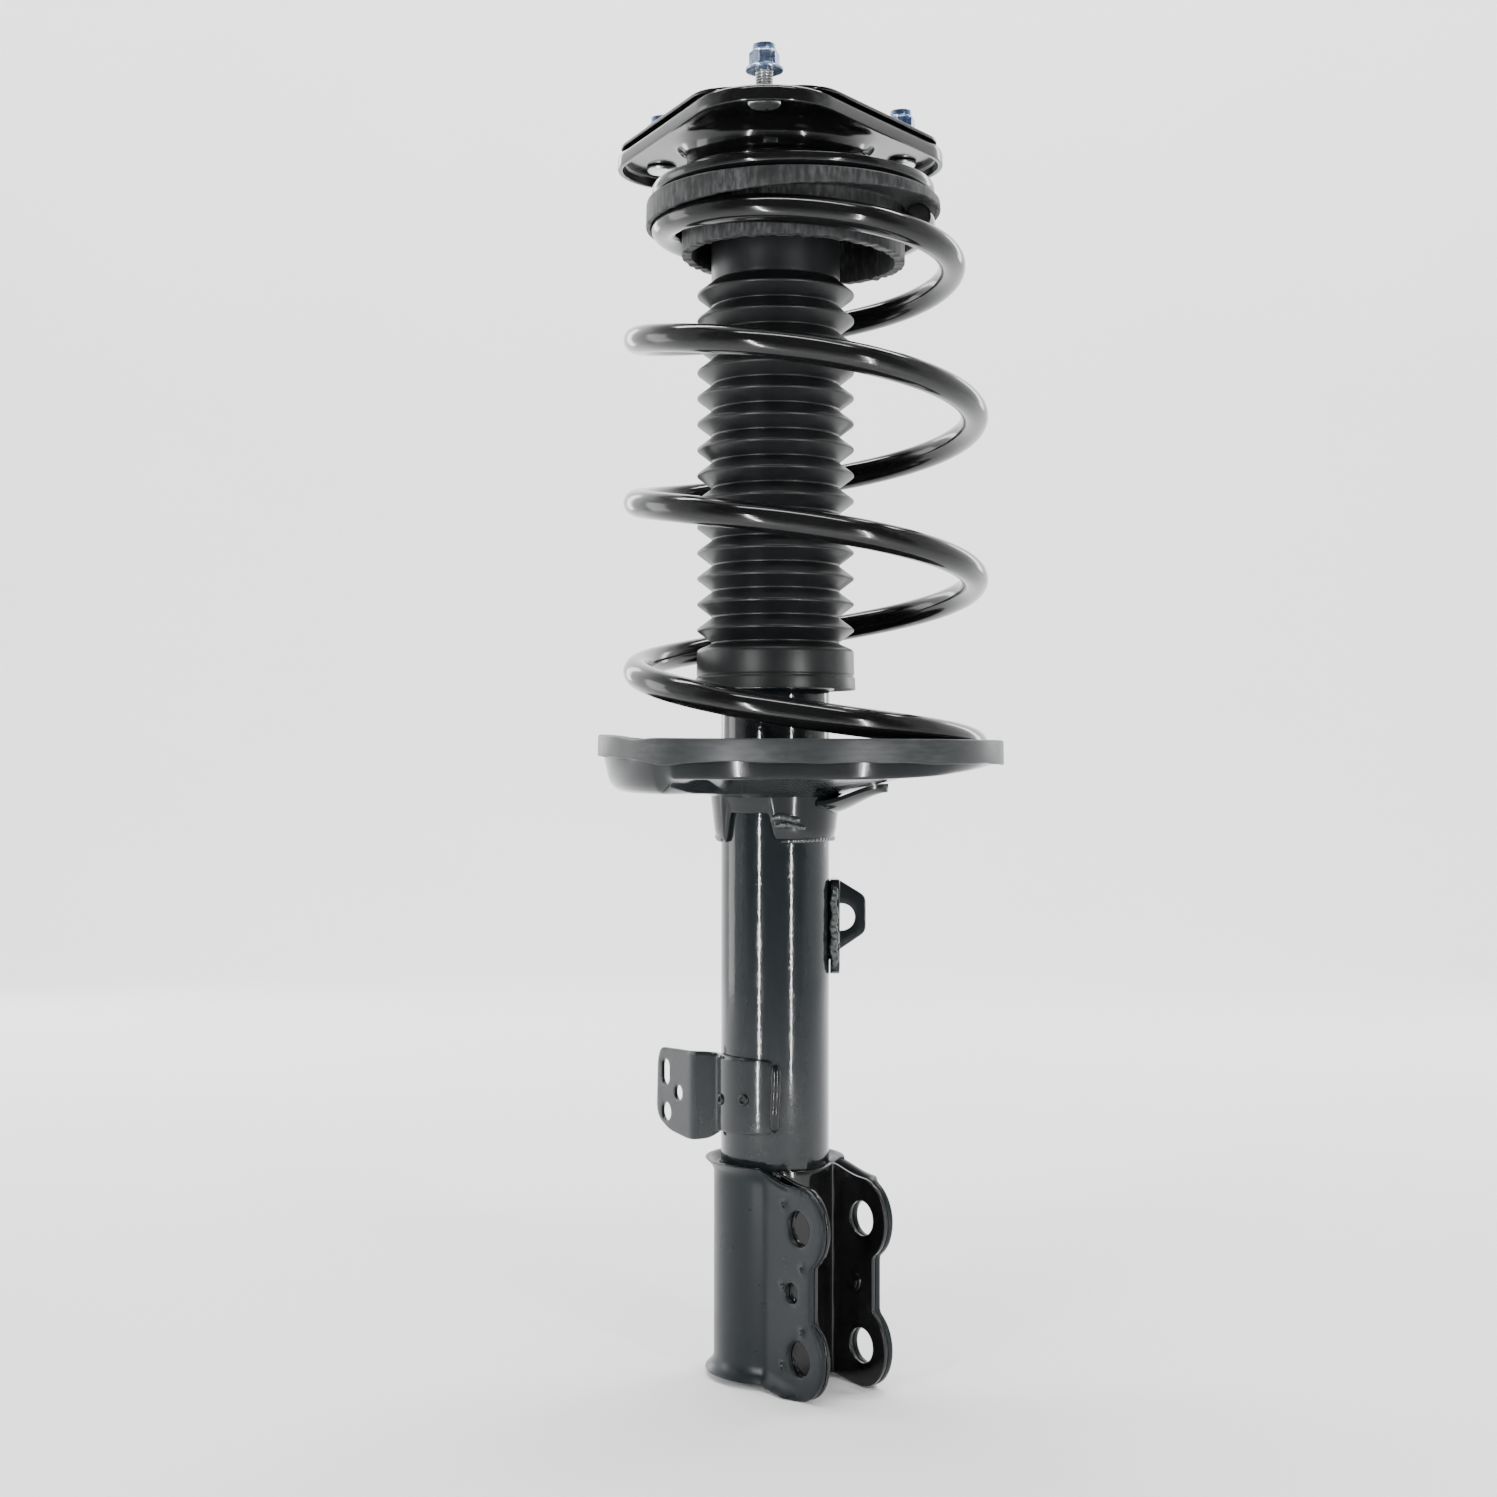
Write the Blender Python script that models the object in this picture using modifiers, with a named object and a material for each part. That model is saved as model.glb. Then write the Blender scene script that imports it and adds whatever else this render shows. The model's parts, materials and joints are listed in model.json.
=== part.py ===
"""A front suspension strut assembly: damper, coil spring, dust boot, top mount and brackets.

Sizes are in metres and +Z points up along the damper axis. The origin is the middle of
the flat underside of the damper's base cap. The strut stands at rest, fully extended.
"""

import math

import bmesh
import bpy
import numpy as np
from mathutils import Matrix, Vector

MM = 0.001
GAP = 0.3 * MM  # between two pieces that touch

# ---- damper, on the Z axis ----
TUBE_RADIUS = 25.5 * MM
TUBE_WALL = 2.2 * MM
TUBE_BOTTOM = 0.5 * MM
TUBE_TOP = 316.0 * MM
BASE_CAP_HEIGHT = 10.0 * MM
BASE_CAP_THICKNESS = 3.0 * MM
OIL_SPACE = 5.8 * MM  # between the two tubes
PRESSURE_TUBE_RADIUS = TUBE_RADIUS - TUBE_WALL - OIL_SPACE
PRESSURE_TUBE_WALL = 1.5 * MM
PRESSURE_TUBE_BOTTOM = 16.0 * MM
ROD_RADIUS = 10.0 * MM
ROD_STUD_RADIUS = 7.0 * MM
ROD_NECK_RADIUS = 6.0 * MM
ROD_SHOULDER = 548.0 * MM
ROD_TOP = 588.0 * MM
ROD_CLEARANCE = 0.35 * MM
GUIDE_HEIGHT = 12.4 * MM
GUIDE_SPIGOT = 8.0 * MM
SEAL_HEIGHT = 6.0 * MM
END_CAP_THICKNESS = 2.0 * MM
END_CAP_SKIRT = 9.0 * MM
REBOUND_STOP_HEIGHT = 10.0 * MM
REBOUND_RETAINER_HEIGHT = 5.0 * MM
PISTON_HEIGHT = 16.0 * MM
PISTON_DROP = 34.0 * MM  # rod guide to the top of the piston
PISTON_RING_HEIGHT = 9.0 * MM
PISTON_NUT_HEIGHT = 9.0 * MM

# ---- coil spring ----
WIRE_RADIUS = 6.3 * MM
COIL_RADIUS = 78.0 * MM
COIL_TOP_RADIUS = 60.0 * MM
COIL_PITCH = 75.0 * MM
COIL_CENTRE = (13.7 * MM, -17.5 * MM)
COIL_TOP_CENTRE = (8.0 * MM, -10.2 * MM)
COIL_LANDING = 280.0 * MM  # height of the wire where it meets the lower seat
COIL_LAST_FULL = 355.8 * MM  # height one turn above that
COIL_TAIL_DROP = 12.5 * MM
COIL_START_ANGLE = -20.0
COIL_END_ANGLE = 1655.0

# ---- lower spring seat ----
SEAT_CENTRE = (11.4 * MM, -17.5 * MM)
SEAT_RADIUS = COIL_RADIUS + WIRE_RADIUS + 6.7 * MM
SEAT_SHEET = 2.5 * MM
SEAT_RIM_TOP = 281.0 * MM
SEAT_FLOOR_HEIGHT = COIL_LANDING - COIL_TAIL_DROP - WIRE_RADIUS
SEAT_HUB_BOTTOM = SEAT_FLOOR_HEIGHT - 7.2 * MM
SEAT_TRACK = (COIL_RADIUS - WIRE_RADIUS - 5.7 * MM, COIL_RADIUS + WIRE_RADIUS + 2.7 * MM)
SEAT_PLATE_RADIUS = SEAT_TRACK[0] - 8.0 * MM
SEAT_STEP_ANGLE = 226.0
SEAT_FRONT_FLOOR = 269.0 * MM
INSULATOR_WALL = 2.2 * MM
INSULATOR_HEIGHT = 8.5 * MM
INSULATOR_LIP = 4.0 * MM
SUPPORT_HEIGHT = 18.0 * MM
SUPPORT_WALL = 2.6 * MM

# ---- upper spring seat, isolator and bearing ----
UPPER_SEAT_FLOOR = 534.0 * MM
UPPER_SEAT_SHEET = 2.5 * MM
UPPER_SEAT_RADIUS = COIL_TOP_RADIUS + WIRE_RADIUS - 0.1 * MM
UPPER_SEAT_RIM = 6.5 * MM
UPPER_SEAT_HOLE = 28.0 * MM
ISOLATOR_RADIUS = UPPER_SEAT_RADIUS + 2.6 * MM
ISOLATOR_PAD = 4.2 * MM
COIL_TOP_HEIGHT = UPPER_SEAT_FLOOR - ISOLATOR_PAD - 2.0 * GAP - WIRE_RADIUS - 0.1 * MM
ISOLATOR_LIP_DEPTH = 8.4 * MM
ISOLATOR_LIP_SWING = 3.8 * MM
ISOLATOR_COLLAR = (COIL_TOP_RADIUS - WIRE_RADIUS - 6.2 * MM, COIL_TOP_RADIUS - WIRE_RADIUS - 2.0 * MM)
ISOLATOR_COLLAR_DEPTH = 26.5 * MM
BEARING_RADII = (30.0 * MM, 41.0 * MM)
BEARING_RACE = 2.5 * MM
BEARING_BALLS = 16
BEARING_BALL_RADIUS = 1.45 * MM

# ---- dust boot and bump stop ----
BOOT_WALL = 1.3 * MM
BOOT_CLEARANCE = 1.15 * MM
BOOT_ROOT = TUBE_RADIUS + GAP + END_CAP_THICKNESS + BOOT_CLEARANCE + BOOT_WALL
BOOT_CREST = BOOT_ROOT + 6.75 * MM
BOOT_FLANGE = ISOLATOR_COLLAR[0] - math.hypot(*COIL_TOP_CENTRE) - GAP
BOOT_BOTTOM = 307.0 * MM
BOOT_CUP_HEIGHT = 22.0 * MM
BOOT_CONVOLUTIONS = 14
BOOT_BELLOWS_TOP = 499.0 * MM
BUMP_STOP_LENGTH = 73.0 * MM
BUMP_STOP_RADIUS = 22.0 * MM

# ---- top mount ----
MOUNT_TOP = 567.0 * MM
MOUNT_SHEET = 2.5 * MM
MOUNT_LIP = 7.5 * MM
MOUNT_LOBE_RADIUS = 35.0 * MM
MOUNT_LOBE_CENTRE = 50.5 * MM
MOUNT_CUP_RADIUS = 42.0 * MM
MOUNT_CUP_HOLE = 26.0 * MM
MOUNT_TURN = -5.0
STUD_CIRCLE = 67.6 * MM
STUD_RADIUS = 4.0 * MM
STUD_HEAD_RADIUS = 7.3 * MM
STUD_HEAD_HEIGHT = 2.2 * MM
STUD_TOP = 586.5 * MM
NUT_BOTTOM = 574.5 * MM
NUT_WIDTH = 12.0 * MM
NUT_HEIGHT = 10.0 * MM
NUT_FLANGE_RADIUS = 8.5 * MM
NUT_FLANGE_HEIGHT = 2.0 * MM
NUT_COLLAR_HEIGHT = 3.0 * MM
COVER_SHEET = 1.5 * MM
COVER_SIDE = 63.0 * MM
COVER_LOBE = 75.5 * MM
COVER_HOLE = 24.0 * MM
SLEEVE_RADIUS = 12.0 * MM
WASHER_RADIUS = 19.0 * MM
WASHER_HEIGHT = 3.0 * MM
ROD_NUT_HEIGHT = 11.0 * MM
ROD_NUT_WIDTH = 21.0 * MM

# ---- knuckle bracket: u points to the wheel, n across the ears ----
WHEEL_ANGLE = -52.0
BRACKET_SHEET = 3.0 * MM
REINFORCEMENT_SHEET = 2.0 * MM
CLEVIS_GAP = 32.0 * MM
BRACKET_TOP = 87.5 * MM
BRACKET_BOTTOM = -11.0 * MM
BRACKET_FLARE = 4.5 * MM
EAR_HOLE_REACH = 43.2 * MM
EAR_HOLE_RADIUS = 8.0 * MM
EAR_HOLES = (63.3 * MM, 5.0 * MM)
EAR_LOBE_RADIUS = 18.6 * MM  # up and down
EAR_LOBE_REACH = 16.6 * MM  # beyond the hole
EAR_WAIST = 51.0 * MM
EAR_MIDDLE_HOLE = (38.2 * MM, 33.5 * MM, 4.5 * MM)

# ---- hose bracket, on the left of the tube ----
HOSE_SHEET = 2.0 * MM
HOSE_HEIGHTS = (101.0 * MM, 137.0 * MM)
HOSE_SADDLE_END = -92.0
HOSE_WEB = 12.0 * MM
HOSE_WING = 34.0 * MM
HOSE_WING_ANGLE = 122.0

# ---- stabiliser link bracket, on the right of the tube ----
LINK_SHEET = 4.5 * MM
LINK_HEIGHTS = (173.0 * MM, 218.0 * MM)
LINK_DEPTHS = (-6.0 * MM, 17.5 * MM)
LINK_REACH = 43.5 * MM
LINK_HOLE = (31.8 * MM, 199.0 * MM, 6.5 * MM)

FINISHES = {
    "black_paint": ((0.012, 0.012, 0.013), 0.2, 0.0),
    "grey_paint": ((0.045, 0.052, 0.055), 0.32, 0.0),
    "zinc": ((0.5, 0.53, 0.58), 0.32, 1.0),
    "steel": ((0.42, 0.42, 0.42), 0.3, 1.0),
    "chrome": ((0.7, 0.7, 0.7), 0.08, 1.0),
    "rubber": ((0.03, 0.03, 0.031), 0.8, 0.0),
    "boot_rubber": ((0.016, 0.016, 0.017), 0.55, 0.0),
    "foam": ((0.55, 0.42, 0.18), 0.9, 0.0),
    "plastic": ((0.02, 0.02, 0.022), 0.5, 0.0),
}

LEFT, FRONT, RIGHT = 145.0, -90.0, 25.0


# ---------------------------------------------------------------- helpers


def clear_scene():
    for obj in list(bpy.data.objects):
        bpy.data.objects.remove(obj, do_unlink=True)


def new_collection(name):
    made = bpy.data.collections.new(name)
    bpy.context.scene.collection.children.link(made)
    return made


def material(name, colour, roughness, metallic):
    made = bpy.data.materials.new(name)
    made.use_nodes = True
    shader = made.node_tree.nodes["Principled BSDF"]
    shader.inputs["Base Color"].default_value = (*colour, 1.0)
    shader.inputs["Roughness"].default_value = roughness
    shader.inputs["Metallic"].default_value = metallic
    return made


def finish(obj, look, angle=35.0):
    """Puts the object with the parts, gives it its own material and smooths its shading."""
    PARTS.objects.link(obj)
    obj.data.materials.clear()
    obj.data.materials.append(material(obj.name + "_" + look, *FINISHES[look]))
    obj.data.shade_smooth()
    obj.data.set_sharp_from_angle(angle=math.radians(angle))
    return obj


def cutter(obj):
    CUTTERS.objects.link(obj)
    obj.hide_render = True
    obj.display_type = "WIRE"
    return obj


def combine(obj, other, operation):
    modifier = obj.modifiers.new(operation.title() + " " + other.name, "BOOLEAN")
    modifier.operation = operation
    modifier.solver = "EXACT"
    modifier.object = other
    return obj


def mesh_object(name, points, faces):
    """A closed mesh from points and faces, with every face turned outwards."""
    mesh = bpy.data.meshes.new(name)
    mesh.from_pydata([tuple(map(float, p)) for p in points], [], faces)
    shape = bmesh.new()
    shape.from_mesh(mesh)
    bmesh.ops.remove_doubles(shape, verts=shape.verts, dist=1e-6)
    bmesh.ops.recalc_face_normals(shape, faces=shape.faces)
    shape.to_mesh(mesh)
    shape.free()
    return bpy.data.objects.new(name, mesh)


def turned(name, profile, steps=28, centre=(0.0, 0.0)):
    """A closed profile of (radius, height), outer side running down, turned about a vertical axis."""
    count = len(profile)
    mesh = bpy.data.meshes.new(name)
    edges = [(i, (i + 1) % count) for i in range(count)]
    mesh.from_pydata([(r, 0.0, z) for r, z in profile], edges, [])
    obj = bpy.data.objects.new(name, mesh)
    obj.location = (centre[0], centre[1], 0.0)
    screw = obj.modifiers.new("Screw", "SCREW")
    screw.axis = "Z"
    screw.steps = steps
    screw.render_steps = steps
    screw.use_merge_vertices = True
    screw.merge_threshold = 1e-5
    screw.use_smooth_shade = True
    return obj


def spun(name, profile, steps=28, centre=(0.0, 0.0)):
    """A turned solid whose profile starts and ends on the axis, as a plain mesh."""
    points = []
    for r, z in profile:
        angles = np.linspace(0.0, 2.0 * math.pi, steps, endpoint=False)
        if r < 1e-7:
            points.append([(centre[0], centre[1], z)])
        else:
            ring = zip(centre[0] + r * np.cos(angles), centre[1] + r * np.sin(angles))
            points.append([(x, y, z) for x, y in ring])
    flat, starts = [], []
    for ring in points:
        starts.append(len(flat))
        flat.extend(ring)
    faces = []
    for k in range(len(points) - 1):
        low, high = points[k], points[k + 1]
        for i in range(steps):
            j = (i + 1) % steps
            a = starts[k] + (i if len(low) > 1 else 0)
            b = starts[k] + (j if len(low) > 1 else 0)
            c = starts[k + 1] + (j if len(high) > 1 else 0)
            d = starts[k + 1] + (i if len(high) > 1 else 0)
            corners = list(dict.fromkeys([a, b, c, d]))
            if len(corners) > 2:
                faces.append(corners)
    return mesh_object(name, flat, faces)


def ring_profile(inner, outer, bottom, top):
    return [(outer, top), (outer, bottom), (inner, bottom), (inner, top)]


def rod_between(name, start, end, radius, steps=18):
    """A cylinder from one point to another, for cutting holes."""
    start, end = Vector(start), Vector(end)
    shape = bmesh.new()
    bmesh.ops.create_cone(
        shape,
        cap_ends=True,
        segments=steps,
        radius1=radius,
        radius2=radius,
        depth=(end - start).length,
    )
    mesh = bpy.data.meshes.new(name)
    shape.to_mesh(mesh)
    shape.free()
    turn = (end - start).to_track_quat("Z", "Y").to_matrix().to_4x4()
    mesh.transform(Matrix.Translation((start + end) / 2.0) @ turn)
    return bpy.data.objects.new(name, mesh)


def plate(name, outline, bottom, top, holes=()):
    """A flat plate with the given outline and round holes (x, y, radius)."""
    curve = bpy.data.curves.new(name, "CURVE")
    curve.dimensions = "2D"
    curve.fill_mode = "BOTH"
    curve.extrude = (top - bottom) / 2.0
    loops = [list(outline)]
    for x, y, radius in holes:
        angles = np.linspace(0.0, 2.0 * math.pi, 16, endpoint=False)
        loops.append(
            [(x + radius * math.cos(a), y + radius * math.sin(a)) for a in angles]
        )
    for loop in loops:
        spline = curve.splines.new("POLY")
        spline.points.add(len(loop) - 1)
        for point, (x, y) in zip(spline.points, loop):
            point.co = (x, y, 0.0, 1.0)
        spline.use_cyclic_u = True
    made = bpy.data.objects.new(name, curve)
    bpy.context.scene.collection.objects.link(made)
    bpy.context.view_layer.update()
    graph = bpy.context.evaluated_depsgraph_get()
    mesh = bpy.data.meshes.new_from_object(made.evaluated_get(graph))
    bpy.data.objects.remove(made, do_unlink=True)
    shape = bmesh.new()
    shape.from_mesh(mesh)
    bmesh.ops.remove_doubles(shape, verts=shape.verts, dist=1e-6)
    bmesh.ops.recalc_face_normals(shape, faces=shape.faces)
    shape.to_mesh(mesh)
    shape.free()
    mesh.transform(Matrix.Translation((0.0, 0.0, (top + bottom) / 2.0)))
    return bpy.data.objects.new(name, mesh)


def polygon(sides, width, centre=(0.0, 0.0), turn=0.0):
    """Corners of a regular polygon with the given width across its flats."""
    radius = width / 2.0 / math.cos(math.pi / sides)
    angles = [turn + 2.0 * math.pi * k / sides for k in range(sides)]
    return [
        (centre[0] + radius * math.cos(a), centre[1] + radius * math.sin(a))
        for a in angles
    ]


def rounded_triangle(reach, radius, steps=8, turns=(LEFT, FRONT, RIGHT)):
    """The outline round three equal circles whose centres stand at the reach."""
    points = []
    for turn in sorted(t + MOUNT_TURN * (t == FRONT) for t in turns):
        middle = math.radians(turn)
        x, y = reach * math.cos(middle), reach * math.sin(middle)
        for a in np.linspace(middle - math.pi / 3, middle + math.pi / 3, steps):
            points.append((x + radius * math.cos(a), y + radius * math.sin(a)))
    return points


def loft(name, loops):
    """A solid ring through closed section loops, the last joined to the first."""
    loops = np.asarray(loops)
    rings, count = loops.shape[:2]
    faces = []
    for i in range(rings):
        for j in range(count):
            a = i * count + j
            b = i * count + (j + 1) % count
            c = (i + 1) % rings * count + (j + 1) % count
            d = (i + 1) % rings * count + j
            faces.append((a, b, c, d))
    return mesh_object(name, loops.reshape(-1, 3), faces)


def sheet_solid(name, outer, inner):
    """A bent sheet from the grids of points on its two faces."""
    rows, count = outer.shape[:2]
    size = rows * count
    faces = []
    for i in range(rows - 1):
        for j in range(count - 1):
            a = i * count + j
            quad = (a, a + 1, a + count + 1, a + count)
            faces.append(quad)
            faces.append(tuple(size + k for k in reversed(quad)))
    border = [(0, j) for j in range(count)]
    border += [(i, count - 1) for i in range(1, rows)]
    border += [(rows - 1, j) for j in range(count - 2, -1, -1)]
    border += [(i, 0) for i in range(rows - 2, 0, -1)]
    edge = [i * count + j for i, j in border]
    for a, b in zip(edge, edge[1:] + edge[:1]):
        faces.append((b, a, size + a, size + b))
    points = np.concatenate([outer.reshape(-1, 3), inner.reshape(-1, 3)])
    return mesh_object(name, points, faces)


def smooth_step(value):
    value = np.clip(value, 0.0, 1.0)
    return value * value * (3.0 - 2.0 * value)


# ---------------------------------------------------------------- damper


def make_damper():
    bore = TUBE_RADIUS - TUBE_WALL
    finish(
        turned(
            "reservoir_tube", ring_profile(bore, TUBE_RADIUS, TUBE_BOTTOM, TUBE_TOP), 36
        ),
        "grey_paint",
    )
    plug = bore - GAP
    thick = BASE_CAP_THICKNESS
    finish(
        spun(
            "base_cap",
            [
                (0.0, thick),
                (plug - thick - 1 * MM, thick),
                (plug - thick, BASE_CAP_HEIGHT),
                (plug, BASE_CAP_HEIGHT),
                (plug, 1.5 * MM),
                (plug - 2.0 * MM, 0.0),
                (0.0, 0.0),
            ],
        ),
        "grey_paint",
    )
    inner = PRESSURE_TUBE_RADIUS - PRESSURE_TUBE_WALL
    guide_bottom = TUBE_TOP - SEAL_HEIGHT - GAP - GUIDE_HEIGHT
    finish(
        turned(
            "pressure_tube",
            ring_profile(
                inner, PRESSURE_TUBE_RADIUS, PRESSURE_TUBE_BOTTOM, guide_bottom - GAP
            ),
            24,
        ),
        "steel",
    )
    valve_bottom = BASE_CAP_THICKNESS + GAP
    valve_seat = PRESSURE_TUBE_BOTTOM - GAP
    finish(
        turned(
            "base_valve",
            [
                (inner - GAP, valve_seat + 5 * MM),
                (inner - GAP, valve_seat),
                (PRESSURE_TUBE_RADIUS, valve_seat),
                (PRESSURE_TUBE_RADIUS, valve_seat - 5 * MM),
                (inner - 3 * MM, valve_bottom),
                (inner - 7 * MM, valve_bottom),
                (inner - 7 * MM, valve_seat - 5 * MM),
                (3 * MM, valve_seat - 5 * MM),
                (3 * MM, valve_seat + 5 * MM),
            ],
            24,
        ),
        "steel",
    )
    hole = ROD_RADIUS + ROD_CLEARANCE
    finish(
        turned(
            "rod_guide",
            [
                (bore - GAP, guide_bottom + GUIDE_HEIGHT),
                (bore - GAP, guide_bottom),
                (inner - GAP, guide_bottom),
                (inner - GAP, guide_bottom - GUIDE_SPIGOT),
                (hole, guide_bottom - GUIDE_SPIGOT),
                (hole, guide_bottom + GUIDE_HEIGHT),
            ],
            24,
        ),
        "steel",
    )
    seal_bottom = guide_bottom + GUIDE_HEIGHT + GAP
    finish(
        turned(
            "rod_seal",
            [
                (bore - GAP, seal_bottom + SEAL_HEIGHT - GAP),
                (bore - GAP, seal_bottom),
                (hole + 1 * MM, seal_bottom),
                (hole, seal_bottom + 2 * MM),
                (hole + 1.5 * MM, seal_bottom + SEAL_HEIGHT - GAP),
            ],
            24,
        ),
        "rubber",
    )
    skirt = TUBE_RADIUS + GAP
    roof = TUBE_TOP + GAP
    finish(
        turned(
            "tube_end_cap",
            [
                (skirt + 0.5 * MM, roof + END_CAP_THICKNESS),
                (skirt + END_CAP_THICKNESS, roof + 0.5 * MM),
                (skirt + END_CAP_THICKNESS, TUBE_TOP - END_CAP_SKIRT),
                (skirt, TUBE_TOP - END_CAP_SKIRT),
                (skirt, roof),
                (hole + 2 * MM, roof),
                (hole + 2 * MM, roof + END_CAP_THICKNESS),
            ],
        ),
        "steel",
    )

    # the rod and what is fastened to its lower end
    stop_top = guide_bottom - GUIDE_SPIGOT - GAP
    piston_top = guide_bottom - GUIDE_SPIGOT - PISTON_DROP
    piston_bottom = piston_top - PISTON_HEIGHT
    nut_bottom = piston_bottom - GAP - PISTON_NUT_HEIGHT
    finish(
        spun(
            "piston_rod",
            [
                (0.0, ROD_TOP),
                (ROD_STUD_RADIUS - 1 * MM, ROD_TOP),
                (ROD_STUD_RADIUS, ROD_TOP - 1 * MM),
                (ROD_STUD_RADIUS, ROD_SHOULDER),
                (ROD_RADIUS, ROD_SHOULDER),
                (ROD_RADIUS, piston_top + GAP),
                (ROD_NECK_RADIUS, piston_top + GAP),
                (ROD_NECK_RADIUS, nut_bottom - 1 * MM),
                (0.0, nut_bottom - 1 * MM),
            ],
            24,
        ),
        "chrome",
    )
    grip = ROD_RADIUS + GAP
    space = inner - grip
    retainer_top = stop_top - REBOUND_STOP_HEIGHT - GAP
    finish(
        turned(
            "rebound_stop",
            [
                (grip + 0.65 * space, stop_top),
                (grip + 0.79 * space, stop_top - 3 * MM),
                (grip + 0.79 * space, stop_top - REBOUND_STOP_HEIGHT),
                (grip, stop_top - REBOUND_STOP_HEIGHT),
                (grip, stop_top),
            ],
            20,
        ),
        "rubber",
    )
    finish(
        turned(
            "rebound_stop_retainer",
            ring_profile(
                grip, grip + 0.65 * space, retainer_top - REBOUND_RETAINER_HEIGHT, retainer_top
            ),
            20,
        ),
        "steel",
    )
    groove = inner - 1.6 * MM
    ring_bottom = (piston_top + piston_bottom - PISTON_RING_HEIGHT) / 2
    ring_top = ring_bottom + PISTON_RING_HEIGHT
    neck = ROD_NECK_RADIUS + GAP
    finish(
        turned(
            "piston",
            [
                (inner - 0.4 * MM, piston_top),
                (inner - 0.4 * MM, ring_top + GAP),
                (groove, ring_top + GAP),
                (groove, ring_bottom - GAP),
                (inner - 0.4 * MM, ring_bottom - GAP),
                (inner - 0.4 * MM, piston_bottom),
                (neck, piston_bottom),
                (neck, piston_top),
            ],
            24,
        ),
        "steel",
    )
    finish(
        turned(
            "piston_ring",
            ring_profile(groove + GAP, inner - 0.25 * MM, ring_bottom, ring_top),
            24,
        ),
        "plastic",
    )
    finish(
        plate(
            "piston_nut",
            polygon(6, 19 * MM),
            nut_bottom,
            nut_bottom + PISTON_NUT_HEIGHT,
            [(0.0, 0.0, neck)],
        ),
        "steel",
    )


# ---------------------------------------------------------------- coil spring


def coil_height(angle):
    """Height of the wire's middle at an angle in degrees, running down from the top end."""
    last_turn = 1440.0
    full_from, full_to = last_turn - 900.0, last_turn - 360.0
    full_top = COIL_LAST_FULL + COIL_PITCH * (full_to - full_from) / 360.0
    knots = [COIL_START_ANGLE - 90.0, 150.0, 200.0, 270.0, 360.0, 450.0, full_from]
    falls = [0.0, 0.0, 1.6, 7.0, 17.5, 34.0]
    heights = [COIL_TOP_HEIGHT - f * MM for f in falls] + [full_top]
    knots += [full_to, full_to + 90.0, full_to + 180.0, full_to + 270.0]
    last_fall = COIL_LAST_FULL - COIL_LANDING
    heights += [COIL_LAST_FULL - last_fall * f for f in (0.0, 0.25, 0.525, 0.84)]
    knots += [last_turn, last_turn + 90.0, last_turn + 180.0, COIL_END_ANGLE + 60.0]
    heights += [COIL_LANDING - COIL_TAIL_DROP * f for f in (0.0, 0.62, 0.94, 1.0)]
    return np.interp(angle, knots, heights)


def smoothed_coil_height(angle):
    """The wire's height averaged over a fifth of a turn, so its slope changes gently."""
    offsets = np.linspace(-30.0, 30.0, 13)
    return np.mean([coil_height(angle + o) for o in offsets], axis=0)


def coil_line(angle):
    """Points on the middle of the spring wire; its turns run down to the left hand."""
    angle = np.asarray(angle, dtype=float)
    spread = smooth_step((angle - 235.0) / 260.0)[..., None]
    radius = COIL_TOP_RADIUS + (COIL_RADIUS - COIL_TOP_RADIUS) * smooth_step(
        (angle - 225.0) / 230.0
    )
    top, low = np.array(COIL_TOP_CENTRE), np.array(COIL_CENTRE)
    centre = top + (low - top) * spread
    turn = np.radians(angle)
    return np.stack(
        [
            centre[..., 0] + radius * np.cos(turn),
            centre[..., 1] + radius * np.sin(turn),
            smoothed_coil_height(angle),
        ],
        axis=-1,
    )


def make_coil():
    angles = np.linspace(COIL_START_ANGLE, COIL_END_ANGLE, 103)
    curve = bpy.data.curves.new("coil_spring", "CURVE")
    curve.dimensions = "3D"
    curve.bevel_depth = WIRE_RADIUS
    curve.bevel_resolution = 2
    curve.use_fill_caps = True
    curve.twist_mode = "Z_UP"
    spline = curve.splines.new("POLY")
    points = coil_line(angles)
    spline.points.add(len(points) - 1)
    for point, place in zip(spline.points, points):
        point.co = (*place, 1.0)
    obj = bpy.data.objects.new("coil_spring", curve)
    PARTS.objects.link(obj)
    curve.materials.append(material("coil_spring_paint", *FINISHES["black_paint"]))


# ---------------------------------------------------------------- lower seat


def seat_floor(angle):
    """Height of the seat's track at an angle: under the wire's tail, then a step up."""
    tail = smoothed_coil_height(angle + 1440.0) - WIRE_RADIUS - GAP
    landing = smoothed_coil_height(1440.0) - WIRE_RADIUS - GAP
    front = SEAT_FRONT_FLOOR + (landing - SEAT_FRONT_FLOOR) * smooth_step(
        (angle - 280.0) / 80.0
    )
    step = smooth_step((angle - SEAT_STEP_ANGLE + 4.0) / 8.0)
    return tail + (front - tail) * step


def reach_to(direction, radius):
    """Distance along a ray from the damper axis to a circle round the seat's middle."""
    centre = np.array(SEAT_CENTRE)
    along = float(np.dot(direction, centre))
    return along + math.sqrt(along * along - float(centre @ centre) + radius * radius)


def seat_rays():
    """Directions from the damper axis for the seat's sections, closer at the step."""
    angles = list(np.arange(0.0, 360.0, 10.0))
    centre = np.array(SEAT_CENTRE)
    for extra in (-5.0, -3.0, -1.0, 1.0, 3.0, 5.0):
        turn = math.radians(SEAT_STEP_ANGLE + extra)
        point = centre + 77.0 * MM * np.array([math.cos(turn), math.sin(turn)])
        angles.append(math.degrees(math.atan2(point[1], point[0])) % 360.0)
    angles = sorted(angles)
    kept = [angles[0]]
    for angle in angles[1:]:
        if angle - kept[-1] > 0.9:
            kept.append(angle)
    return kept


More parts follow.
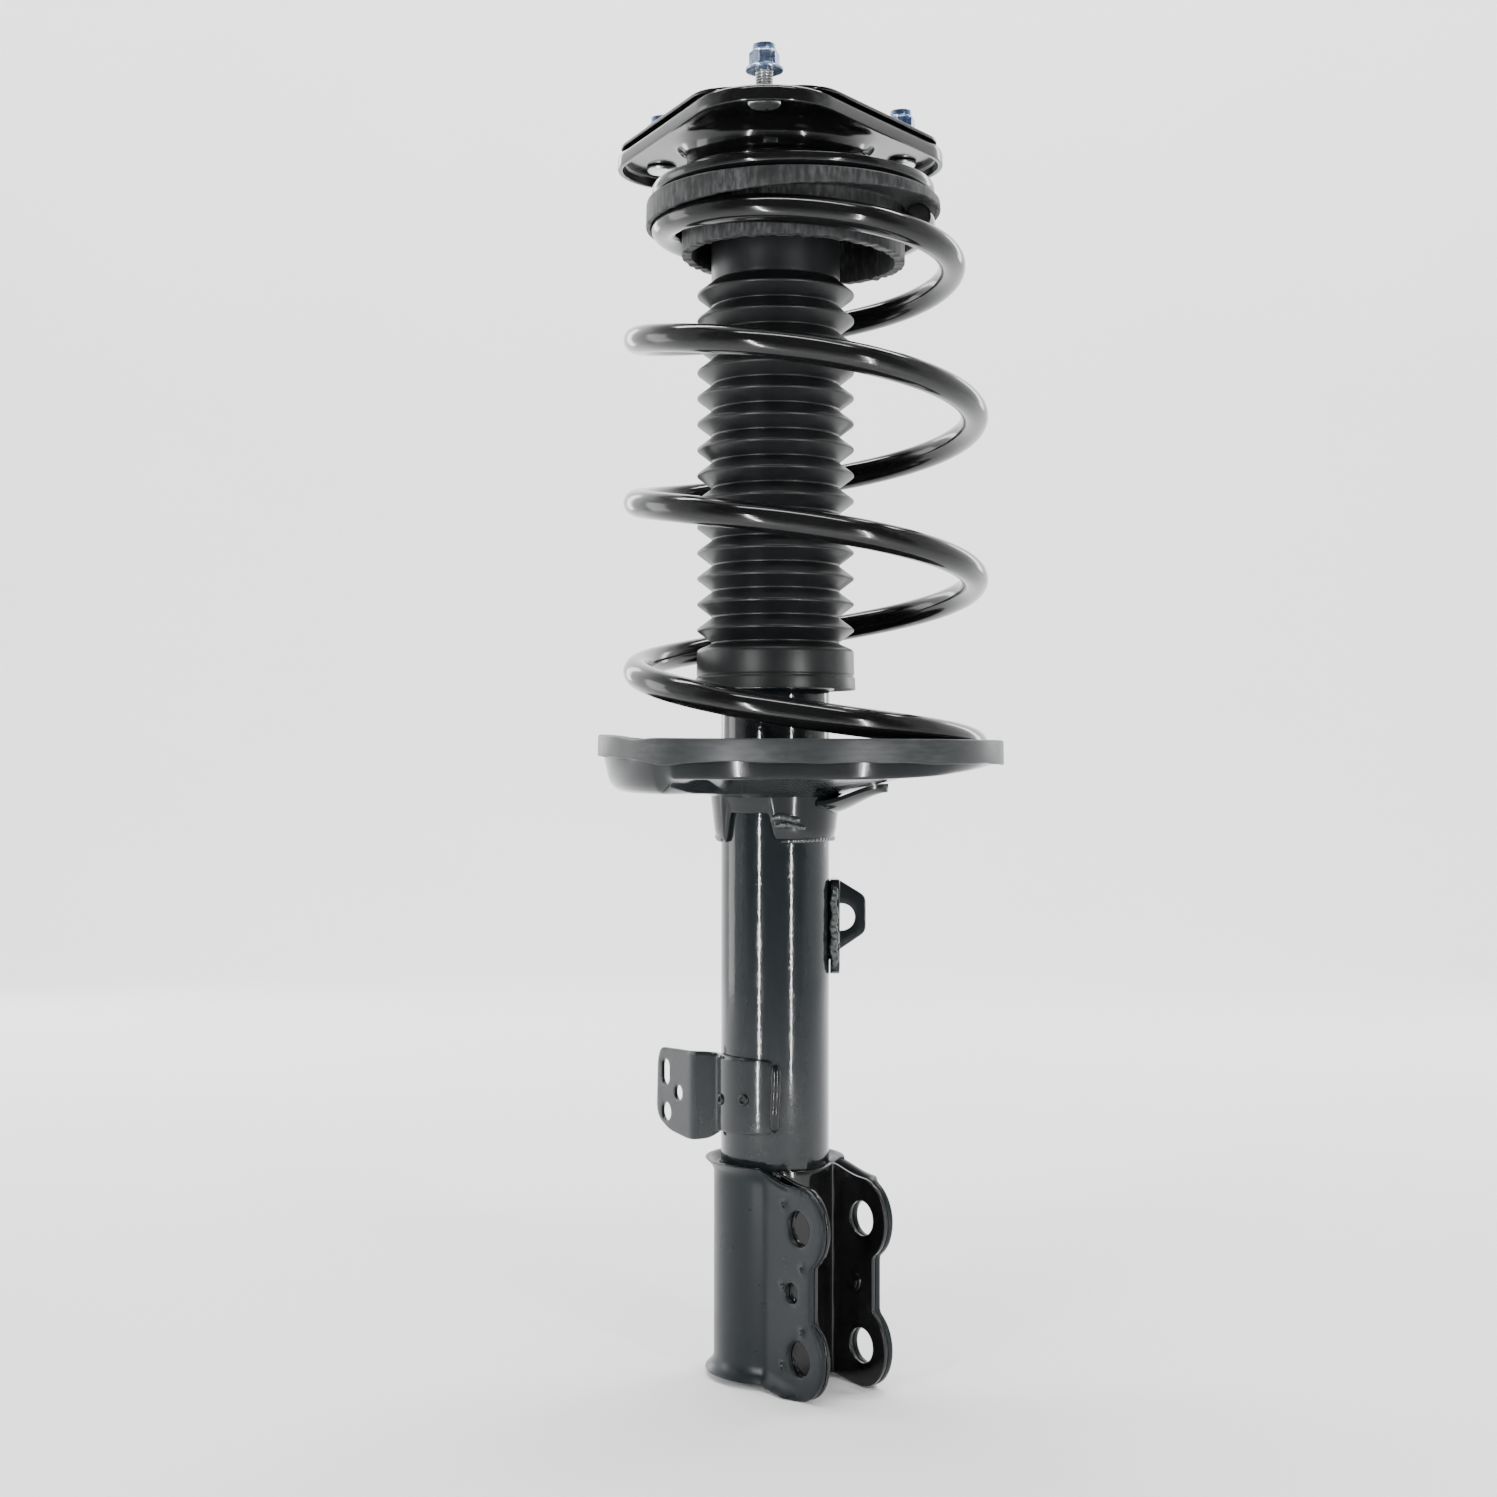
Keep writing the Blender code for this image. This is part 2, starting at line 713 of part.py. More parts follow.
def rim_angles():
    """The angles round the seat's middle at which its rim has corners."""
    centre = np.array(SEAT_CENTRE)
    angles = []
    for ray in seat_rays():
        direction = np.array([math.cos(math.radians(ray)), math.sin(math.radians(ray))])
        away = direction * reach_to(direction, SEAT_RADIUS) - centre
        angles.append(math.degrees(math.atan2(away[1], away[0])) % 360.0)
    return sorted(angles)


def rim_height(angle):
    """The seat's rim stands a little higher over the pocket for the wire's end."""
    away = (angle - 180.0) / 38.0
    return SEAT_RIM_TOP + 2.6 * MM * np.exp(-away * away)


def seat_section(ray):
    """The seat's section on a ray: (distance, height) for its upper and its lower face."""
    direction = np.array([math.cos(math.radians(ray)), math.sin(math.radians(ray))])
    centre = np.array(SEAT_CENTRE)
    hub = TUBE_RADIUS + GAP

    def station(radius):
        distance = reach_to(direction, radius)
        away = direction * distance - centre
        return distance, math.degrees(math.atan2(away[1], away[0])) % 360.0

    wall = SEAT_RADIUS - SEAT_SHEET
    base = rim_height(0.0)
    plate_edge, turn = station(SEAT_PLATE_RADIUS)
    pocket = 1.0 - float(smooth_step((abs(turn - 165.0) - 45.0) / 40.0))
    flat = hub + 8 * MM + (plate_edge - hub - 8 * MM) * pocket
    track_in, turn_in = station(SEAT_TRACK[0])
    track_out, turn_out = station(SEAT_TRACK[1])
    rim, turn_rim = station(SEAT_RADIUS)
    upper = [
        (hub, SEAT_FLOOR_HEIGHT),
        (flat, SEAT_FLOOR_HEIGHT),
        (track_in, float(seat_floor(turn_in))),
        (station(SEAT_TRACK[1] - 1 * MM)[0], float(seat_floor(turn_out))),
        (station(wall - 1 * MM)[0], base - 3 * MM),
        (station(wall)[0], float(rim_height(turn_rim))),
    ]
    low = SEAT_FLOOR_HEIGHT - SEAT_SHEET
    lower = [
        (rim, float(rim_height(turn_rim))),
        (rim, base - 5 * MM),
        (track_out + 0.5 * MM, float(seat_floor(turn_out)) - SEAT_SHEET),
        (track_in + 0.3 * MM, float(seat_floor(turn_in)) - SEAT_SHEET),
        (flat + 0.5 * MM, low),
        (hub + SEAT_SHEET + 2.5 * MM, low),
        (hub + SEAT_SHEET, low - 2 * MM),
        (hub + SEAT_SHEET, SEAT_HUB_BOTTOM),
        (hub, SEAT_HUB_BOTTOM),
    ]
    return direction, upper, lower


def make_lower_seat():
    centre = np.array(SEAT_CENTRE)
    loops = []
    for ray in seat_rays():
        direction, upper, lower = seat_section(ray)
        loops.append([(*(direction * d), z) for d, z in upper + lower])
    finish(loft("lower_spring_seat", loops), "grey_paint")

    outer = SEAT_RADIUS + GAP + INSULATOR_WALL
    inner = SEAT_RADIUS + GAP
    lip = inner - INSULATOR_LIP
    loops = []
    for angle in rim_angles():
        turn = math.radians(angle)
        direction = np.array([math.cos(turn), math.sin(turn)])
        top = rim_height(angle) + GAP + 1.8 * MM
        under = rim_height(angle) + GAP
        deep = top - INSULATOR_HEIGHT - 1.2 * MM * (1.0 + math.cos(turn)) / 2.0
        loops.append(
            [
                (*(centre + direction * r), z)
                for r, z in (
                    (lip, top),
                    (outer - 0.8 * MM, top),
                    (outer, top - 0.8 * MM),
                    (outer, deep),
                    (inner, deep),
                    (inner, under),
                    (lip, under),
                )
            ]
        )
    finish(loft("lower_insulator", loops), "rubber")

    # the pressing under the seat: a sleeve on the tube with a gusset towards the wheel
    sleeve_inner = TUBE_RADIUS + GAP
    top = SEAT_HUB_BOTTOM - GAP
    bottom = top - SUPPORT_HEIGHT
    sleeve = turned(
        "seat_support",
        [
            (sleeve_inner + SUPPORT_WALL + 2.4 * MM, top),
            (sleeve_inner + SUPPORT_WALL + 2.2 * MM, top - 6 * MM),
            (sleeve_inner + SUPPORT_WALL, bottom + 4 * MM),
            (sleeve_inner + SUPPORT_WALL - 1.4 * MM, bottom),
            (sleeve_inner, bottom),
            (sleeve_inner, top),
        ],
    )
    ray = -20.0
    along = Vector((math.cos(math.radians(ray)), math.sin(math.radians(ray)), 0.0))
    across = Vector((-along.y, along.x, 0.0)) * 8 * MM
    sections = [seat_section(ray + side) for side in (-14.0, -7.0, 0.0, 7.0, 14.0)]

    def under_seat(distance):
        """The lowest the seat's underside gets over the gusset at this distance."""
        heights = []
        for _, _, lower in sections:
            outward = sorted(p for p in lower[2:6])
            heights.append(np.interp(distance, *zip(*outward)))
        return float(min(heights)) - 2 * GAP

    near, middle, far = (sleeve_inner + d * MM for d in (1.2, 10.0, 27.0))
    corners = [
        (near, top - 9 * MM),
        (far, under_seat(far) - 2.6 * MM),
        (far, under_seat(far)),
        (middle, under_seat(middle)),
        (middle - 3.4 * MM, top - 1 * MM),
        (near, top - 1 * MM),
    ]
    corners = [(along * d, z) for d, z in corners]
    points = [Vector((p.x, p.y, z)) - across for p, z in corners]
    points += [Vector((p.x, p.y, z)) + across for p, z in corners]
    n = len(corners)
    faces = [tuple(range(n)), tuple(range(2 * n - 1, n - 1, -1))]
    faces += [(i, (i + 1) % n, n + (i + 1) % n, n + i) for i in range(n)]
    gusset = cutter(mesh_object("support_gusset_blank", points, faces))
    finish(combine(sleeve, gusset, "UNION"), "grey_paint")


# ---------------------------------------------------------------- upper seat


def make_upper_seat():
    floor, sheet = UPPER_SEAT_FLOOR, UPPER_SEAT_SHEET
    seat = turned(
        "upper_spring_seat",
        [
            (UPPER_SEAT_RADIUS - sheet, floor + UPPER_SEAT_RIM),
            (UPPER_SEAT_RADIUS, floor + UPPER_SEAT_RIM - 1 * MM),
            (UPPER_SEAT_RADIUS - 1 * MM, floor + 1 * MM),
            (UPPER_SEAT_RADIUS - 2.5 * MM, floor),
            (6 * MM, floor),
            (6 * MM, floor + sheet),
            (UPPER_SEAT_RADIUS - sheet - 2 * MM, floor + sheet),
        ],
        36,
        COIL_TOP_CENTRE,
    )
    hole = rod_between(
        "upper_seat_hole_cutter",
        (0.0, 0.0, floor - 5 * MM),
        (0.0, 0.0, floor + 10 * MM),
        UPPER_SEAT_HOLE,
        28,
    )
    finish(combine(seat, cutter(hole), "DIFFERENCE"), "black_paint")

    top = floor - GAP
    pad = top - ISOLATOR_PAD
    collar_in, collar_out = ISOLATOR_COLLAR
    lip = COIL_TOP_RADIUS + WIRE_RADIUS + GAP
    centre = np.array(COIL_TOP_CENTRE)
    loops = []
    for angle in np.arange(0.0, 360.0, 10.0):
        turn = math.radians(angle)
        direction = np.array([math.cos(turn), math.sin(turn)])
        edge = top - ISOLATOR_LIP_DEPTH + ISOLATOR_LIP_SWING * math.cos(turn)
        foot = top - ISOLATOR_COLLAR_DEPTH - 2 * MM * math.cos(turn)
        loops.append(
            [
                (*(centre + direction * r), z)
                for r, z in (
                    (collar_in, top),
                    (ISOLATOR_RADIUS - 1 * MM, top),
                    (ISOLATOR_RADIUS, top - 1 * MM),
                    (ISOLATOR_RADIUS, edge),
                    (lip, edge),
                    (lip, pad),
                    (collar_out, pad),
                    (collar_out, foot),
                    (collar_in, foot),
                )
            ]
        )
    finish(loft("upper_isolator", loops), "rubber")

    # the strut bearing stands on the seat and carries the mount
    inner, outer = BEARING_RADII
    middle = (inner + outer) / 2
    low = floor + sheet + GAP
    ball = BEARING_BALL_RADIUS
    race_top = low + BEARING_RACE
    finish(
        turned(
            "bearing_lower_race",
            [
                (outer, race_top),
                (outer, low),
                (inner, low),
                (inner, race_top),
                (middle - 1.6 * MM, race_top),
                (middle, race_top - 0.9 * MM),
                (middle + 1.6 * MM, race_top),
            ],
        ),
        "plastic",
    )
    cage_middle = race_top - 0.2 * MM + ball
    cage = turned(
        "bearing_ball_cage",
        ring_profile(
            middle - 2.6 * MM, middle + 2.6 * MM, cage_middle - 0.5 * MM, cage_middle + 0.5 * MM
        ),
        32,
    )
    balls = bmesh.new()
    for k in range(BEARING_BALLS):
        turn = 2.0 * math.pi * k / BEARING_BALLS
        place = Vector((middle * math.cos(turn), middle * math.sin(turn), cage_middle))
        bmesh.ops.create_uvsphere(
            balls,
            u_segments=6,
            v_segments=4,
            radius=ball,
            matrix=Matrix.Translation(place),
        )
    mesh = bpy.data.meshes.new("bearing_balls_blank")
    balls.to_mesh(mesh)
    balls.free()
    blank = cutter(bpy.data.objects.new("bearing_balls_blank", mesh))
    finish(combine(cage, blank, "UNION"), "steel")
    high = MOUNT_TOP - 21 * MM - GAP
    under = cage_middle + ball - 0.2 * MM
    finish(
        turned(
            "bearing_upper_race",
            [
                (outer, high),
                (outer, under),
                (middle + 1.6 * MM, under),
                (middle, under + 0.9 * MM),
                (middle - 1.6 * MM, under),
                (inner, under),
                (inner, high),
            ],
        ),
        "plastic",
    )


# ---------------------------------------------------------------- boot and bump stop


def make_boot():
    """A moulded bellows: a bottom cup, then folds, then a plain neck under the upper seat."""
    cup_top = BOOT_BOTTOM + BOOT_CUP_HEIGHT
    outline = [
        (BOOT_CREST + 0.8 * MM, BOOT_BOTTOM),
        (BOOT_CREST + 0.5 * MM, BOOT_BOTTOM + 5.8 * MM),
        (BOOT_CREST + 0.1 * MM, BOOT_BOTTOM + 6.4 * MM),
        (BOOT_CREST, cup_top - 3 * MM),
    ]
    pitch = (BOOT_BELLOWS_TOP - cup_top) / BOOT_CONVOLUTIONS
    for k in range(BOOT_CONVOLUTIONS):
        base = cup_top + k * pitch
        outline.append((BOOT_ROOT, base))
        outline.append((BOOT_CREST, base + pitch / 2))
    neck_top = UPPER_SEAT_FLOOR - GAP
    outline.append((BOOT_ROOT, BOOT_BELLOWS_TOP))
    outline.append((BOOT_ROOT, neck_top - 3 * MM))
    outline.append((BOOT_FLANGE, neck_top - 2 * MM))
    outline.append((BOOT_FLANGE, neck_top))
    inside = [(r - BOOT_WALL, z) for r, z in outline[:-3]]
    inside += [(BOOT_ROOT - BOOT_WALL, neck_top)]
    finish(turned("dust_boot", outline[::-1] + inside, 18), "boot_rubber", 25.0)

    top = ROD_SHOULDER - GAP
    inner = ROD_RADIUS + 2 * GAP
    r = BUMP_STOP_RADIUS
    length = BUMP_STOP_LENGTH
    finish(
        turned(
            "bump_stop",
            [
                (r, top),
                (r, top - 0.24 * length),
                (r - 4.5 * MM, top - 0.30 * length),
                (r - 1 * MM, top - 0.38 * length),
                (r - 1 * MM, top - 0.55 * length),
                (r - 5 * MM, top - 0.61 * length),
                (r - 2.5 * MM, top - 0.69 * length),
                (r - 3.5 * MM, top - 0.86 * length),
                (r - 8 * MM, top - length),
                (inner, top - length),
                (inner, top),
            ],
            20,
        ),
        "foam",
    )


# ---------------------------------------------------------------- top mount


def stud_places():
    turns = {"left": LEFT, "front": FRONT + MOUNT_TURN, "right": RIGHT}
    return {
        side: (
            STUD_CIRCLE * math.cos(math.radians(turn)),
            STUD_CIRCLE * math.sin(math.radians(turn)),
        )
        for side, turn in turns.items()
    }


def make_mount():
    places = stud_places()
    cup_bottom = MOUNT_TOP - 21 * MM
    cup_wall = MOUNT_CUP_RADIUS - MOUNT_SHEET
    under = MOUNT_TOP - MOUNT_SHEET
    skirt = plate(
        "mount_plate",
        rounded_triangle(MOUNT_LOBE_CENTRE, MOUNT_LOBE_RADIUS),
        MOUNT_TOP - MOUNT_LIP,
        MOUNT_TOP,
        [(x, y, STUD_RADIUS + GAP) for x, y in places.values()] + [(0.0, 0.0, cup_wall)],
    )
    hollow = plate(
        "mount_hollow_cutter",
        rounded_triangle(MOUNT_LOBE_CENTRE, MOUNT_LOBE_RADIUS - MOUNT_SHEET),
        MOUNT_TOP - 2 * MOUNT_LIP,
        under,
    )
    combine(skirt, cutter(hollow), "DIFFERENCE")
    cup = turned(
        "mount_cup_blank",
        [
            (MOUNT_CUP_RADIUS + 2 * MM, MOUNT_TOP - 0.4 * MM),
            (MOUNT_CUP_RADIUS + 2 * MM, under),
            (MOUNT_CUP_RADIUS, under - 2 * MM),
            (MOUNT_CUP_RADIUS, cup_bottom + 2 * MM),
            (MOUNT_CUP_RADIUS - 2 * MM, cup_bottom),
            (MOUNT_CUP_HOLE, cup_bottom),
            (MOUNT_CUP_HOLE, cup_bottom + MOUNT_SHEET),
            (cup_wall, cup_bottom + MOUNT_SHEET),
            (cup_wall, MOUNT_TOP - 0.4 * MM),
        ],
        32,
    )
    combine(skirt, cutter(cup), "UNION")
    finish(skirt, "black_paint")

    rubber_bottom = cup_bottom + MOUNT_SHEET + GAP
    bond = cup_wall - GAP
    hole = SLEEVE_RADIUS + GAP
    finish(
        turned(
            "mount_rubber",
            [
                (bond - 4 * MM, MOUNT_TOP - 1.5 * MM),
                (bond, MOUNT_TOP - 3 * MM),
                (bond, rubber_bottom),
                (22 * MM, rubber_bottom),
                (20.5 * MM, rubber_bottom + 3 * MM),
                (hole, rubber_bottom + 3 * MM),
                (hole, MOUNT_TOP - 1.0 * MM),
                (20 * MM, MOUNT_TOP - 1.0 * MM),
                (25 * MM, MOUNT_TOP - 6 * MM),
                (30 * MM, MOUNT_TOP - 6 * MM),
            ],
        ),
        "rubber",
    )
    sleeve_bottom = ROD_SHOULDER + GAP
    sleeve_top = MOUNT_TOP + 0.6 * MM
    bore = ROD_STUD_RADIUS + GAP
    finish(
        turned(
            "mount_sleeve",
            [
                (SLEEVE_RADIUS, sleeve_top),
                (SLEEVE_RADIUS, sleeve_bottom + 2.2 * MM),
                (19.5 * MM, sleeve_bottom + 2.2 * MM),
                (19.5 * MM, sleeve_bottom),
                (bore, sleeve_bottom),
                (bore, sleeve_top),
            ],
            24,
        ),
        "steel",
    )
    finish(
        turned(
            "rod_washer",
            [
                (WASHER_RADIUS - 1 * MM, sleeve_top + GAP + WASHER_HEIGHT),
                (WASHER_RADIUS, sleeve_top + GAP + WASHER_HEIGHT - 1 * MM),
                (WASHER_RADIUS, sleeve_top + GAP),
                (bore, sleeve_top + GAP),
                (bore, sleeve_top + GAP + WASHER_HEIGHT),
            ],
            24,
        ),
        "zinc",
    )
    nut_bottom = sleeve_top + 2 * GAP + WASHER_HEIGHT
    finish(
        plate(
            "rod_nut",
            polygon(6, ROD_NUT_WIDTH),
            nut_bottom,
            nut_bottom + ROD_NUT_HEIGHT,
            [(0.0, 0.0, bore)],
        ),
        "zinc",
    )

    outline = []
    for turn in (RIGHT, RIGHT + 60.0, LEFT, LEFT + 60.0, RIGHT + 240.0, RIGHT - 60.0):
        outline.append(turn)
    corners = []
    spans = [
        COVER_LOBE if k % 2 == 0 else COVER_SIDE for k in range(len(outline))
    ]
    for k, turn in enumerate(outline):
        following = (k + 1) % len(outline)
        normals = np.array(
            [
                [math.cos(math.radians(turn)), math.sin(math.radians(turn))],
                [
                    math.cos(math.radians(outline[following])),
                    math.sin(math.radians(outline[following])),
                ],
            ]
        )
        corner = np.linalg.solve(normals, [spans[k], spans[following]])
        corners.append(tuple(corner))
    finish(
        plate(
            "mount_cover",
            corners,
            MOUNT_TOP + GAP,
            MOUNT_TOP + GAP + COVER_SHEET,
            [(x, y, STUD_RADIUS + GAP) for x, y in places.values()]
            + [(0.0, 0.0, COVER_HOLE)],
        ),
        "plastic",
    )

    for side, (x, y) in places.items():
        head_top = under - GAP
        finish(
            spun(
                "mount_stud_" + side,
                [
                    (0.0, STUD_TOP),
                    (STUD_RADIUS - 0.7 * MM, STUD_TOP),
                    (STUD_RADIUS, STUD_TOP - 0.7 * MM),
                    (STUD_RADIUS, head_top),
                    (STUD_HEAD_RADIUS, head_top),
                    (STUD_HEAD_RADIUS, head_top - STUD_HEAD_HEIGHT + 0.5 * MM),
                    (STUD_HEAD_RADIUS - 0.5 * MM, head_top - STUD_HEAD_HEIGHT),
                    (0.0, head_top - STUD_HEAD_HEIGHT),
                ],
                16,
                (x, y),
            ),
            "zinc",
        )
        thread = STUD_RADIUS + GAP
        hexagon = plate(
            "stud_nut_" + side,
            polygon(6, NUT_WIDTH, (x, y), math.radians(12.0)),
            NUT_BOTTOM + NUT_FLANGE_HEIGHT * 0.5,
            NUT_BOTTOM + NUT_HEIGHT,
            [(x, y, thread)],
        )
        washer = turned(
            "nut_flange_blank_" + side,
            [
                (STUD_RADIUS + 1.4 * MM, NUT_BOTTOM + NUT_HEIGHT + NUT_COLLAR_HEIGHT),
                (STUD_RADIUS + 1.4 * MM, NUT_BOTTOM + NUT_FLANGE_HEIGHT + 1.2 * MM),
                (NUT_FLANGE_RADIUS, NUT_BOTTOM + NUT_FLANGE_HEIGHT * 0.6),
                (NUT_FLANGE_RADIUS, NUT_BOTTOM),
                (thread, NUT_BOTTOM),
                (thread, NUT_BOTTOM + NUT_HEIGHT + NUT_COLLAR_HEIGHT),
            ],
            16,
            (x, y),
        )
        finish(combine(hexagon, cutter(washer), "UNION"), "zinc")


# ---------------------------------------------------------------- brackets


def bracket_place(u, n, z):
    """A point given along the wheel direction u, across it n, and in height."""
    turn = math.radians(WHEEL_ANGLE)
    x = u * math.cos(turn) - n * math.sin(turn)
    y = u * math.sin(turn) + n * math.cos(turn)
    return np.stack(np.broadcast_arrays(x, y, z), axis=-1)


def ear_reach(height):
    """How far the ears reach at a height: two round lobes with a waist between them."""
    reach = np.full(np.shape(height), 0.0)
    for hole in EAR_HOLES:
        inside = np.maximum(1.0 - ((height - hole) / EAR_LOBE_RADIUS) ** 2, 0.0)
        reach = np.maximum(reach, EAR_HOLE_REACH + EAR_LOBE_REACH * np.sqrt(inside))
    middle = (height - EAR_HOLES[1]) * (EAR_HOLES[0] - height)
    return np.where(middle > 0.0, np.maximum(reach, EAR_WAIST), reach)


def bent_path(centre_radius, ear_offset, fillet, from_back):
    """Half of a sheet's middle line in (u, n): an arc on the tube, a bend, then the ear.

    Returns points, and normals on the side away from the clevis, up to the start of the
    flat ear. The outer sheet comes round the back of the tube and the inner one round
    its front, where it folds back on itself to become the ear.
    """
    side = 1.0 if from_back else -1.0
    height = ear_offset + side * fillet
    run = math.sqrt((centre_radius + fillet) ** 2 - height**2)
    touch = math.atan2(height, run)
    start = math.pi if from_back else 0.0
    count = 11 if from_back else 4
    arc = np.linspace(start, touch, count)
    points = [(centre_radius * math.cos(a), centre_radius * math.sin(a)) for a in arc]
    normals = [(side * math.cos(a), side * math.sin(a)) for a in arc]
    bend_end = (1.0 + side / 2.0) * math.pi
    for a in np.linspace(touch + math.pi, bend_end, 4)[1:]:
        points.append((run + fillet * math.cos(a), height + fillet * math.sin(a)))
        normals.append((-side * math.cos(a), -side * math.sin(a)))
    return np.array(points), np.array(normals)


def bracket_sheet(name, thickness, centre_radius, ear_offset, from_back, flare):
    """One bent sheet of the knuckle bracket, its two ears reaching to the lobed outline."""
    fillet = 1.6 * thickness / 2.0 + 0.6 * MM
    half, outward = bent_path(centre_radius, ear_offset, fillet, from_back)
    straight = half[-1][0]
    ear_steps = np.array([0.5, 1.0])
    edges = np.array([0.0, 0.03, 0.09, 0.19, 0.3, 0.4])
    rows = np.unique(np.concatenate([edges, 1.0 - edges]))
    wrap_low, wrap_high = BRACKET_BOTTOM, BRACKET_TOP
    lobe_low = EAR_HOLES[1] - EAR_LOBE_RADIUS
    lobe_high = EAR_HOLES[0] + EAR_LOBE_RADIUS
    outer_rows, inner_rows = [], []
    for v in rows:
        ear_height = lobe_low + (lobe_high - lobe_low) * v
        reach = float(ear_reach(np.array(ear_height)))
        us = list(half[:, 0]) + list(straight + ear_steps * (reach - straight))
        ns = list(half[:, 1]) + [ear_offset] * len(ear_steps)
        normal = list(map(tuple, outward)) + [(0.0, 1.0)] * len(ear_steps)
        us, ns, normal = np.array(us), np.array(ns), np.array(normal)
        slope = smooth_step((us - 12 * MM) / (EAR_HOLE_REACH - 12 * MM))
        low = wrap_low + (lobe_low - wrap_low) * slope
        high = wrap_high + (lobe_high - wrap_high) * slope
        heights = low + (high - low) * v
        fade = 1.0 - smooth_step((us - 36 * MM) / (14 * MM))
        lip = flare * fade * max(0.0, (abs(v - 0.5) - 0.41) / 0.09) ** 2
        for store, shift in ((outer_rows, 0.5), (inner_rows, -0.5)):
            move = (thickness * shift + lip)[:, None] * normal
            u, n = us + move[:, 0], ns + move[:, 1]
            right = bracket_place(u, n, heights)
            left = bracket_place(u[1:], -n[1:], heights[1:])[::-1]
            store.append(np.concatenate([left, right]))
    return sheet_solid(name, np.array(outer_rows), np.array(inner_rows))


def ear_cutters(tag, radius):
    """Pins across both ears for the two bolts, and a smaller one between them."""
    pins = []
    far = CLEVIS_GAP
    for k, height in enumerate(EAR_HOLES):
        ends = [bracket_place(EAR_HOLE_REACH, n, height) for n in (-far, far)]
        pins.append(cutter(rod_between(f"{tag}_bolt_cutter_{k}", *ends, radius)))
    u, height, small = EAR_MIDDLE_HOLE
    ends = [bracket_place(u, n, height) for n in (-far, far)]
    pins.append(cutter(rod_between(f"{tag}_middle_cutter", *ends, small, 12)))
    return pins


def make_knuckle_bracket():
    inner_face = CLEVIS_GAP / 2
    inner_offset = inner_face + REINFORCEMENT_SHEET / 2
    outer_offset = inner_face + REINFORCEMENT_SHEET + GAP + BRACKET_SHEET / 2
    outer = bracket_sheet(
        "knuckle_bracket",
        BRACKET_SHEET,
        TUBE_RADIUS + GAP + BRACKET_SHEET / 2,
        outer_offset,
        True,
        BRACKET_FLARE,
    )
    inner = bracket_sheet(
        "bracket_reinforcement",
        REINFORCEMENT_SHEET,
        TUBE_RADIUS + GAP + REINFORCEMENT_SHEET / 2,
        inner_offset,
        False,
        0.0,
    )
    for obj, tag in ((outer, "bracket"), (inner, "reinforcement")):
        for pin in ear_cutters(tag, EAR_HOLE_RADIUS):
            combine(obj, pin, "DIFFERENCE")
    finish(outer, "grey_paint")
    finish(inner, "black_paint")


def make_hose_bracket():
    """A saddle welded round the tube's left side, with a bent wing for the hose."""
    radius = TUBE_RADIUS + GAP + HOSE_SHEET / 2
    arc = np.radians(np.linspace(HOSE_SADDLE_END, -168.0, 10))
    points = [(radius * math.cos(a), radius * math.sin(a)) for a in arc]
    normals = [(math.cos(a), math.sin(a)) for a in arc]
    last = np.array(points[-1])
    turn_in = np.array([-1.0, 0.25])
    turn_in /= np.linalg.norm(turn_in)
    wing = np.radians(HOSE_WING_ANGLE)
    along_wing = np.array([math.cos(wing), math.sin(wing)])
    web_end = last + np.array([-1.2, 1.6]) * MM + turn_in * HOSE_WEB
    tip = web_end + along_wing * HOSE_WING
    web_normal = (turn_in[1], -turn_in[0])
    web_normal = np.array(web_normal) * (1 if web_normal[1] < 0 else -1)
    wing_normal = np.array([-along_wing[1], along_wing[0]])
    wing_normal *= 1 if wing_normal[0] < 0 else -1
    blend = (web_normal + wing_normal) / np.linalg.norm(web_normal + wing_normal)
    entry = (np.array(normals[-1]) + web_normal) / 2
    entry /= np.linalg.norm(entry)
    points += [tuple(last + np.array([-1.6, 1.4]) * MM)]
    normals += [tuple(web_normal * 0.85)]
    points += [tuple(web_end - turn_in * 1.5 * MM), tuple(web_end)]
    normals += [tuple(web_normal), tuple(blend * 1.1)]
    for share in (0.12, 0.75, 1.0):
        points.append(tuple(web_end + (tip - web_end) * share))
        normals.append(tuple(wing_normal))
    points, normals = np.array(points), np.array(normals)
    low, high = HOSE_HEIGHTS
    count = len(points)
    bottoms = np.full(count, low)
    tops = np.full(count, high)
    bottoms[0], tops[0] = low + 3 * MM, high - 3 * MM
    bottoms[-5:] = [low - 6 * MM, low - 6.5 * MM, low - 6.5 * MM, low - 3.5 * MM, low + 1 * MM]
    tops[-5:] = [high, high, high, high - 1 * MM, high - 4 * MM]
    grids = []
    for shift in (0.5, -0.5):
        places = points + normals * HOSE_SHEET * shift
        rows = [
            np.column_stack([places, bottoms + (tops - bottoms) * v])
            for v in (0.0, 0.5, 1.0)
        ]
        grids.append(np.array(rows))
    bracket = sheet_solid("hose_bracket", *grids)
    cuts = [(0.74, high - 13 * MM, 3.6 * MM), (0.38, 115.5 * MM, 3.6 * MM)]
    cuts.append((0.72, 105 * MM, 4.4 * MM))
    for k, (share, height, size) in enumerate(cuts):
        place = web_end + (tip - web_end) * share
        ends = [(*(place + wing_normal * d), height) for d in (-6 * MM, 6 * MM)]
        hole = rod_between(f"hose_hole_cutter_{k}", *ends, size, 14)
        if k == 0:
            centre = Vector((*place, height))
            stretch = Matrix.Translation(centre) @ Matrix.Scale(1.7, 4, (0, 0, 1))
            hole.data.transform(stretch @ Matrix.Translation(-centre))
        combine(bracket, cutter(hole), "DIFFERENCE")
    finish(bracket, "grey_paint")


